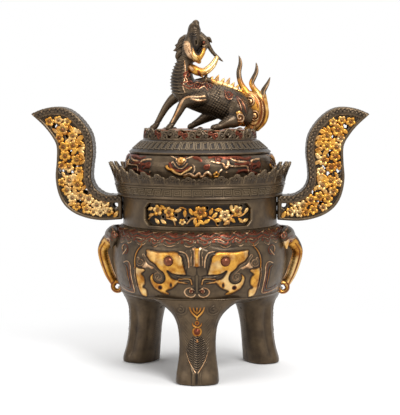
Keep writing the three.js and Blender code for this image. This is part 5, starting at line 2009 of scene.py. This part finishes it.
def draw_window_ground(relief):
    """A sunk ground, painted dark as shade, with small gaps, and the gilt stems that cross it."""
    across, up = relief.at.T
    outline = np.array(neck_outline()) * (0.995, 0.985)
    for points in WINDOW_STEMS:
        relief.stroke(points, 2.6, 1.7, "gilt", 0.8, 0.7)
    relief.extent = signed_distance(relief.at, outline, 80.0)
    for x, y in ((-45, -2.6), (-27, 0), (-11, -3), (12, 9), (26, -9.6), (43.4, 2.6), (58, 10), (-66.6, 9.6)):
        relief.extent = np.maximum(relief.extent, 2.1 - np.hypot(across - x, up - y))
    # painted shade over the whole ground but the gilt stems
    relief.soot_and_shade += np.where(relief.areas["gilt"] > 0, 1.0, 0)


class BURNER_OT_windows(bpy.types.Operator):
    """Make the foliage in the neck's two windows"""

    bl_idname = "burner.windows"
    bl_label = "Windows"

    def execute(self, context):
        leaves = [(x, y, 5.2) for x, y in WINDOW_LEAVES]
        for side, where in ((1, "front"), (-1, "rear")):
            wall = on_ring(WINDOW_R, side)

            def place(across, up, out):
                return wall(across * WINDOW_R / NECK_R, up + NECK_MIDDLE, out)
            sheet = cut_sheet("window", draw_window_ground, (-71, -14.5), (71, 14.5), 0.9, 1.6, place)
            placed(
                f"window_ground_{where}", sheet, VESSEL, finish("bronze"), [f"window_panel_{where}"],
            )

            def put(across, up):
                turn, r = across / NECK_R, WINDOW_R + 1
                place = (side * r * math.sin(turn), -side * r * math.cos(turn), up + NECK_MIDDLE)
                return place, turn + (0 if side > 0 else math.pi)
            foliage(f"window_foliage_{where}", WINDOW_FLOWERS, leaves, put, 7 + side)
        return {"FINISHED"}


# Elephant heads, tusks, eye bosses and legs


def belly_radius(z):
    belly = smooth_path(BELLY, 8)
    return np.interp(z, belly[:, 1], belly[:, 0])


def kept_out_of_bowl(mesh, depth=1.4):
    """Draws corners that reach into the bowl back to just under its surface."""
    at, _, _ = corner_table(mesh)
    far = np.maximum(np.hypot(at[:, 0], at[:, 1]), 1e-6)
    least = belly_radius(np.clip(at[:, 2], 100, MOUTH_Z)) - depth
    at[:, :2] *= np.maximum(1, least / far)[:, None]
    move_corners(mesh, at)


def on_belly(out, drop, turn=0.0):
    """A place outside the belly's widest radius and down from the mouth, turned from the head's middle."""
    turn = math.radians(turn)
    return (BELLY_R + out) * math.cos(turn), (BELLY_R + out) * math.sin(turn), MOUTH_Z - drop


TRUNK = [
    (-15.5, 12, 7), (-7, 13.5, 13, 1.25), (0.5, 18, 10.4, 1.35), (7, 23, 8.6, 1.2), (12.2, 31, 6.9),
    (12.8, 38, 6.3), (10.6, 48, 6.1, 0.95), (6.2, 61, 5.7, 0.9), (1.4, 71, 5.0, 0.9), (-0.6, 76, 3.8, 0.9),
]
TRUNK_BACK = [
    (-2, 22, 10, 0.9), (2, 34, 8.6, 0.6), (1.5, 46, 8.2, 0.55), (-1, 58, 7, 0.55), (-4, 66, 4.6, 0.7),
]
TUSK = [(0.8, 12, 5.0), (1.2, 17, 4.8), (2.4, 22, 3.6), (3.2, 26, 1.4)]
TUSK_TURN = 18
CURL_AT = (104.1, 102.6)


def draw_elephant(relief):
    """Folds over the brow, the eye, a ringed gilt trunk and its curl; the same on both flanks."""
    side_on = np.abs(relief.depth)
    line = [(BELLY_R + s[0], MOUTH_Z - s[1]) for s in TRUNK[3:]]
    relief.strokes(
        (line, 14.4, 0.3, "gilt", 0.9, 0.7),
        (np.array(line) + (7.6, 0), 1.6, -0.2, "bare"),
        (np.array(line) + (2.4, 0), 1.2, -0.5, "copper", 0.3, 0.3),
        (np.array(line[2:]) - (7.6, 0), 1.0, 0.8, "light", 0.4, 0.4),
    )
    path = smooth_path(line, 6)
    ways = np.gradient(path, axis=0)
    for index in range(2, len(path) - 2, 2):
        way = ways[index] / np.linalg.norm(ways[index])
        across = np.array([-way[1], way[0]])
        relief.stroke(
            [path[index] - across * 7, path[index] + way * 1.2, path[index] + across * 7], 0.9, -0.3, None,
            smooth=False,
        )
    for k in range(5):
        relief.stroke(
            [(95 + 2.6 * k, 174 - 4.2 * k), (101 + 3 * k, 179 - 3.6 * k), (107 + 3.2 * k, 184 - 4.6 * k)],
            1.5, 0.9, ("copper", "light", None)[k % 3], 0.3, 0.6,
        )
    relief.stroke(spiral((103, 172), 4.6, 1.3, 60, -1, 0.2), 1.4, 0.9, "copper")
    relief.dot((112.6, 163.8), 3.1, 0.9, "light")
    relief.dot((112.6, 163.8), 1.8, 1.6, "copper")
    relief.dot(CURL_AT, 9.0, 0.1, "gilt")
    relief.stroke(spiral(CURL_AT, 7.6, 1.0, 60, -1, 0.55), 1.0, 0.7, "copper")
    relief.height *= rise((side_on - 1.5) / 3) * 0.6 + 0.4


class BURNER_OT_elephants(bpy.types.Operator):
    """Make the elephant heads and their tusks"""

    bl_idname = "burner.elephants"
    bl_label = "Elephant heads"

    def execute(self, context):
        parts = [bar([(*on_belly(s[0], s[1]), *s[2:]) for s in stations]) for stations in (TRUNK, TRUNK_BACK)]
        for side in (-1, 1):
            cheek = [(*on_belly(-1, 13, side * 9), 10), (*on_belly(-1, 13, side * TUSK_TURN), 7.4)]
            parts.append(bar([(107.5, side * 6, 168, 12), *cheek]))
        x, z = CURL_AT
        ring = [
            (x + 5.9 * math.cos(a), 0, z + 5.9 * math.sin(a), 2.9, 1.6) for a in np.linspace(0.3, 6.9, 15)
        ]
        parts.append(bar(ring, steps=3))
        mesh = skinned("elephant", parts, 0.7, 3)
        kept_out_of_bowl(mesh)
        drawn(mesh, draw_elephant)
        bronze = finish("bronze")
        for name, shape in (("right", mesh), ("left", flipped(mesh, 0))):
            placed(f"elephant_{name}", shape, VESSEL, bronze, [f"elephant_head_{name}"])
        tusks = [
            bar([(*on_belly(out, drop, side * TUSK_TURN), radius) for out, drop, radius in TUSK], sides=20)
            for side in (-1, 1)
        ]
        vertices, faces = joined(tusks)
        shape = raw_mesh("tusks", vertices, faces)
        # the left tusks take the bronze finish instead of the pale one: painted shade on that side
        for name, mesh, key in (("right", shape, "pale"), ("left", flipped(shape, 0), "bronze")):
            sooted_and_shaded(mesh, Relief(*np.zeros((2, len(vertices)))))
            placed(
                f"tusks_{name}", mesh, VESSEL, finish(key),
                [f"tusk_{name}_front", f"tusk_{name}_rear"],
            )
        return {"FINISHED"}


BOSS_R, BOSS_RING = 7.6, 6.5
BOSS_TURN, BOSS_OUT, BOSS_Z = 17.7, 109.2, 147.5


class BURNER_OT_bosses(bpy.types.Operator):
    """Make the copper bosses of the masks' eyes"""

    bl_idname = "burner.bosses"
    bl_label = "Eye bosses"

    def execute(self, context):
        def height(turn, share):
            return np.interp(
                share, [0, 0.3, 0.6, 0.78, 0.84, 0.9, 1], [5.6, 5.2, 3.8, 1.9, 0.9, 1.5, 1.0],
            ) + 0 * turn

        def radius(turn):
            return np.full(len(turn), BOSS_R)
        vertices, faces = rosette((0.3, 0.6, 0.78, 0.84, 0.9, 1.0), 28, radius, height, 2.0)
        unit = raw_mesh("boss", vertices, faces)
        relief = Relief(vertices[:, 0], vertices[:, 2])
        ring = np.abs(np.hypot(vertices[:, 0], vertices[:, 2]) - BOSS_RING)
        # a painted shadow in the groove round each boss
        paint_areas(unit, relief, rise(1.2 - ring))
        turns = [math.radians(a) for a in (-BOSS_TURN, BOSS_TURN, 180 - BOSS_TURN, 180 + BOSS_TURN)]
        places = [(BOSS_OUT * math.sin(a), -BOSS_OUT * math.cos(a), BOSS_Z) for a in turns]
        mesh = sprayed(unit, places, [(0, 0, a) for a in turns], [1] * 4, finish("copper"))
        names = [f"eye_boss_{row}_{side}" for row in ("front", "rear") for side in ("left", "right")]
        placed("eye_bosses", mesh, VESSEL, finish("copper"), names)
        return {"FINISHED"}


LEG_LEVELS = [
    (0, 89.5, 20, 25.6), (6, 89.2, 20.4, 25.8), (20, 86.4, 19.4, 23.6), (35, 84.2, 19.2, 21.8),
    (51, 82.4, 19.4, 21.6), (64, 81, 20.4, 23.2), (73, 79.8, 21.6, 26), (81, 78.4, 24, 30.4),
    (87, 77.4, 25.8, 36), (92, 76.6, 27, 42), (97, 75.6, 27.8, 50), (104, 75, 28, 61),
]


def draw_leg(relief):
    """Claw, bead, stone and feathering down the shin, scrolls on the shoulders and the cleft of the hoof."""
    across, z = relief.at.T
    relief.pairs(
        ([(8.6, 92.5), (6.8, 87.8), (3.8, 84), (0, 80.4)], 2.9, 1.5, "gilt", 0.6, 1),
        ([(4.4, 92), (3.4, 88.6), (1.2, 86)], 2.3, 1.5, "gilt", 0.6, 1),
        ([(1.2, 68.4), (4.6, 70.6), (5.4, 73.6)], 1.9, 1.2, "gilt", 1, 0.4),
        # soft scrolls and the square frame of the shoulders
        ([(12, 92), (13.6, 86), (19, 83.6), (25, 86.6), (27, 92)], 1.7, 1.0),
        (spiral((19.5, 89.6), 4.2, 1.2, 90, 1, 0.2), 1.6, 1.0),
        ([(11.5, 80), (19, 78.4), (25.5, 76.4)], 1.1, 0.6, None, 0.4, 0.4),
        ([(29, 94), (26, 84), (22, 74), (19.4, 62), (18.6, 48)], 1.2, 0.5, None, 1, 0.2),
    )
    # feathers down the sides of the shin
    for k in range(13):
        level = 74 - 4.3 * k
        reach = 17.6 - abs(level - 62) * 0.12
        feather = [(reach - 9 + k * 0.2, level - 4), (reach - 5, level), (reach - 1, level + 5)]
        relief.pairs((feather, 1.1, 0.7, None, 0.2, 0.8))
    relief.stroke([(0, 91.6), (0, 84)], 2.0, 1.5, "gilt", 1, 0.6)
    relief.dot((0, 78.6), 1.6, 1.1, "gilt")
    relief.dot((0, 73.6), 2.9, 0.9, "gilt")
    relief.dot((0, 73.6), 1.4, -0.7, "copper")
    relief.dot((0, 63.4), 5.8, 1.2, "gilt", (1, 1.1))
    relief.dot((0, 63.4), 3.8, 2.4, "copper", (1, 1.1))
    relief.dot((0, 52.4), 1.6, 0.9, "light", (1, 1.3))
    # wavy chevrons of the shin, in a shield that closes to a point over the cleft
    wave = np.mod(z - 0.9 * np.abs(across) - 0.6 * np.cos(across * 1.1), 2.7)
    line = rise((0.85 - np.abs(wave - 1.35)) / 0.5)
    shield = rise(
        (np.interp(z, [14, 18, 28, 40, 50, 57, 59], [0, 3, 9.5, 13, 11, 6, -3]) - np.abs(across)) / 1.2
    )
    relief.height += shield * (1.1 * line - 0.5)
    # soot and painted shade between the raised lines of the chevrons
    relief.soot_and_shade += 0.6 * shield * (1 - line)
    relief.pairs(([(13.4, 40), (8.4, 26.4), (1.6, 15)], 1.1, 1.0, "light", 0.2, 1))
    # facet and cleft of the hoof
    relief.plate([(-8.4, 24), (-1.2, 14.4), (-1.2, -2), (-6.4, -2), (-6.6, 14)], 2.0, 2.0, smooth=False)
    relief.stroke([(0.2, 15), (0.4, -2)], 1.7, -1.8, None, 0.6, 1)
    # soot and painted shade in the cleft
    relief.soot_and_shade += 0.9 * rise((1.3 - np.abs(across - 0.3)) / 0.6) * rise((15 - z) / 2)
    relief.stroke([(9, 24), (5.4, 17), (4, 8), (4.4, -2)], 1.6, 0.9, None, 0.3, 1)


def oblong(outer, inner, power=0.8):
    """A rounded oblong of half sizes 1, its corners evenly spaced and closer on the +X half."""
    fine = np.linspace(-math.pi / 2, math.pi * 1.5, 4001)
    x = np.sign(np.cos(fine)) * np.abs(np.cos(fine)) ** power
    y = np.sign(np.sin(fine)) * np.abs(np.sin(fine)) ** power
    run = np.concatenate([[0], np.cumsum(np.hypot(np.diff(x), np.diff(y)))])
    half = run[-1] / 2
    marks = np.concatenate([np.arange(outer) / outer * half, half + np.arange(inner) / inner * half])
    return np.interp(marks, run, x), np.interp(marks, run, y)


def bowl_underside(at):
    """Height of the bowl's underside above points on the ground, sunk 1 mm into it."""
    return np.interp(
        np.hypot(at[..., 0], at[..., 1]), [44.6, 62, 77.2, 92, 99], [85.5, 88, 91, 96.6, 99.4],
    ) + 1.0


def leg_mesh():
    """One leg, on the +X side: rounded oblong sections, drawn on from outside, kept under the bowl."""
    levels = np.array(LEG_LEVELS, float)
    z = np.unique(
        np.concatenate(
            [
                np.arange(0, 14, 0.8), np.arange(14, 60, 0.5), np.arange(60, 94, 0.75),
                np.arange(94, 104.01, 1.25),
            ]
        )
    )
    smooth = smooth_path(levels, 8)
    x, deep, wide = (np.interp(z, smooth[:, 0], smooth[:, column]) for column in (1, 2, 3))
    around_x, around_y = oblong(140, 44)
    count = len(around_x)
    rows = [(x[0], deep[0] * s, wide[0] * s, z[0]) for s in (0.35, 0.75, 0.94)]
    rows += [(a, b, c, d + (0.8 if d == 0 else 0)) for a, b, c, d in zip(x, deep, wide, z)]
    rows += [(x[-1], deep[-1] * s, wide[-1] * s, z[-1]) for s in (0.7, 0.3)]
    rows = np.array(rows)
    px = rows[:, :1] + rows[:, 1:2] * around_x
    py = rows[:, 2:3] * around_y
    pz = np.repeat(rows[:, 3:4], count, 1)
    relief = Relief(py.ravel(), pz.ravel())
    draw_leg(relief)
    facing = np.clip(np.tile(around_x, len(rows)) * 2.2, 0, 1) * np.repeat(
        (rows[:, 3] > 0.5) & (rows[:, 3] < 100), count,
    )
    lift = relief.height * facing
    # soft upright folds along the flanks
    deep_at, flank = np.tile(around_x, len(rows)), np.tile(np.abs(around_y) ** 3, len(rows))
    fold = 0.0
    for height, middle, width in ((1.3, 0.42, 0.16), (-2.0, 0.08, 0.2), (1.0, -0.4, 0.2)):
        fold = fold + height * np.exp(-((deep_at - middle) / width) ** 2)
    lift += fold * flank * np.repeat(rise((rows[:, 3] - 3) / 12) * rise((84 - rows[:, 3]) / 26), count)
    relief.only(facing > 0.3)
    out_x, out_y = around_x / rows[:, 1:2], around_y / rows[:, 2:3]
    size = np.maximum(np.hypot(out_x, out_y), 1e-9)
    px, py = px.ravel() + lift * (out_x / size).ravel(), py.ravel() + lift * (out_y / size).ravel()
    pz = pz.ravel()
    ends = [(rows[0, 0], 0, 0), (rows[-1, 0], 0, rows[-1, 3])]
    vertices = np.vstack([np.stack([px, py, pz], -1), ends])
    last = len(rows) * count
    grid = vertices[:last].reshape(len(rows), count, 3)
    wall = len(rows) - 2
    above = grid[:wall, :, 2] - bowl_underside(grid[:wall])
    for column in np.flatnonzero((above > 0).any(0)):
        row = int((above[:, column] > 0).argmax())
        share = above[row - 1, column] / (above[row - 1, column] - above[row, column])
        grid[row:wall, column] = grid[row - 1, column] + share * (grid[row, column] - grid[row - 1, column])
    middle = vertices[-1, :2]
    for row, share in ((wall, 0.7), (wall + 1, 0.3)):
        grid[row, :, :2] = middle + share * (grid[wall - 1, :, :2] - middle)
    vertices[:last] = grid.reshape(-1, 3)
    vertices[:, 2] = np.minimum(vertices[:, 2], bowl_underside(vertices))
    mesh = raw_mesh("leg", vertices, turned_faces(len(rows), count, last, last + 1))
    sooted_and_shaded(mesh, relief, rounds=6, depth=0.5)
    return merged(mesh, 0.001)


class BURNER_OT_legs(bpy.types.Operator):
    """Make the three legs"""

    bl_idname = "burner.legs"
    bl_label = "Legs"

    def execute(self, context):
        places = [(0, 0, 0)] * 3
        ways = [(0, 0, math.radians(a)) for a in (270, 150, 30)]
        mesh = sprayed(leg_mesh(), places, ways, [1] * 3, finish("bronze"))
        placed(
            "legs_relief", mesh, VESSEL, finish("bronze"),
            ["leg_front", "leg_rear_left", "leg_rear_right"],
        )
        return {"FINISHED"}


# Studio, panel and the run


WHITE = (1, 1, 1, 1)
CAMERA_DIP = 4.7


def area_light(name, place, size, power):
    """A square lamp aimed at the burner's middle."""
    light = bpy.data.lights.new(name, "AREA")
    light.shape = "SQUARE"
    light.size = size
    light.energy = power
    lamp = linked(name, light)
    lamp.location = place
    lamp.rotation_euler = (Vector((0, 0, 0.2)) - Vector(place)).to_track_quat("-Z", "Y").to_euler()


class BURNER_OT_stage(bpy.types.Operator):
    """Make the floor, the white background, the lights and the camera"""

    bl_idname = "burner.stage"
    bl_label = "Stage"

    def fade(self, tree, shader):
        """Lets the floor pass into the white background round the burner, as a paper sweep does."""
        place = add(tree, "ShaderNodeTexCoord").outputs["Object"]
        reach = add(tree, "ShaderNodeVectorMath", {0: place}, operation="LENGTH").outputs["Value"]
        far = add(
            tree, "ShaderNodeMapRange", {"Value": reach, "From Min": 0.16, "From Max": 0.5},
            interpolation_type="SMOOTHSTEP",
        )
        ray = add(tree, "ShaderNodeLightPath").outputs
        seen = math_node(
            tree, "MULTIPLY", far.outputs["Result"],
            math_node(tree, "MAXIMUM", ray["Is Camera Ray"], ray["Is Glossy Ray"]),
        )
        white = add(tree, "ShaderNodeEmission", {"Color": WHITE, "Strength": 1.0})
        mix = add(tree, "ShaderNodeMixShader", {0: seen, 1: shader.outputs[0], 2: white.outputs[0]})
        tree.links.new(mix.outputs[0], tree.nodes["Material Output"].inputs["Surface"])

    def execute(self, context):
        scene = context.scene
        studio = scene.burner_studio
        bpy.ops.mesh.primitive_plane_add(size=12, location=(0, 0, -0.0005))
        floor = context.active_object
        floor.name = "studio_floor"
        pale = bpy.data.materials.new("Pale studio floor")
        pale.use_nodes = True
        shader = pale.node_tree.nodes["Principled BSDF"]
        shader.inputs["Base Color"].default_value = linear("FAFAFA")
        shader.inputs["Roughness"].default_value = 0.9
        self.fade(pale.node_tree, shader)
        floor.data.materials.append(pale)

        world = bpy.data.worlds.new("Studio")
        world.use_nodes = True
        tree = world.node_tree
        tree.nodes.clear()
        ray = add(tree, "ShaderNodeLightPath").outputs
        seen = math_node(tree, "MAXIMUM", ray["Is Camera Ray"], ray["Is Glossy Ray"])
        seen = math_node(tree, "MAXIMUM", seen, ray["Is Transmission Ray"])
        white = add(tree, "ShaderNodeBackground", {"Color": WHITE, "Strength": 1.0})
        soft = add(tree, "ShaderNodeBackground", {"Color": WHITE, "Strength": 0.5})
        mix = add(tree, "ShaderNodeMixShader", {0: seen, 1: soft.outputs[0], 2: white.outputs[0]})
        add(tree, "ShaderNodeOutputWorld", {"Surface": mix.outputs[0]})
        scene.world = world

        area_light("key", (0.8, -1.4, 1.5), 0.8, 34)
        area_light("fill", (-1.4, -1.2, 0.9), 1.0, 8)
        area_light("top", (0, 0.3, 1.9), 1.4, 16)

        camera = bpy.data.cameras.new("camera")
        camera.lens = studio.lens
        camera.sensor_width = 36.0
        eye = linked("camera", camera)
        eye.location = (
            studio.distance * math.sin(studio.turn), -studio.distance * math.cos(studio.turn), studio.height,
        )
        eye.rotation_euler = (math.radians(90 - CAMERA_DIP), 0, studio.turn)
        scene.camera = eye
        scene.view_settings.view_transform = "Standard"
        return {"FINISHED"}


class BURNER_PT_panel(bpy.types.Panel):
    """Sidebar panel of the burner"""

    bl_idname = "BURNER_PT_panel"
    bl_label = "Incense burner"
    bl_space_type = "VIEW_3D"
    bl_region_type = "UI"
    bl_category = "Burner"

    def draw(self, context):
        for group in (context.scene.burner_sizes, context.scene.burner_finish, context.scene.burner_studio):
            for key in group.bl_rna.properties.keys():
                if key not in {"rna_type", "name"}:
                    self.layout.prop(group, key)
        for operator in OPERATORS:
            self.layout.operator(operator.bl_idname)


OPERATORS = (
    BURNER_OT_finish, BURNER_OT_bowl, BURNER_OT_beast, BURNER_OT_rim, BURNER_OT_lid, BURNER_OT_handles,
    BURNER_OT_windows, BURNER_OT_elephants, BURNER_OT_bosses, BURNER_OT_legs, BURNER_OT_stage,
)
CLASSES = (BurnerSizes, BurnerFinish, BurnerStudio, *OPERATORS, BURNER_PT_panel)


def register():
    for cls in CLASSES:
        bpy.utils.register_class(cls)
    bpy.types.Scene.burner_sizes = bpy.props.PointerProperty(type=BurnerSizes)
    bpy.types.Scene.burner_finish = bpy.props.PointerProperty(type=BurnerFinish)
    bpy.types.Scene.burner_studio = bpy.props.PointerProperty(type=BurnerStudio)


def unregister():
    del bpy.types.Scene.burner_studio
    del bpy.types.Scene.burner_finish
    del bpy.types.Scene.burner_sizes
    for cls in reversed(CLASSES):
        bpy.utils.unregister_class(cls)


def main():
    register()
    for operator in OPERATORS:
        group, name = operator.bl_idname.split(".")
        getattr(getattr(bpy.ops, group), name)()


if __name__ == "__main__":
    main()
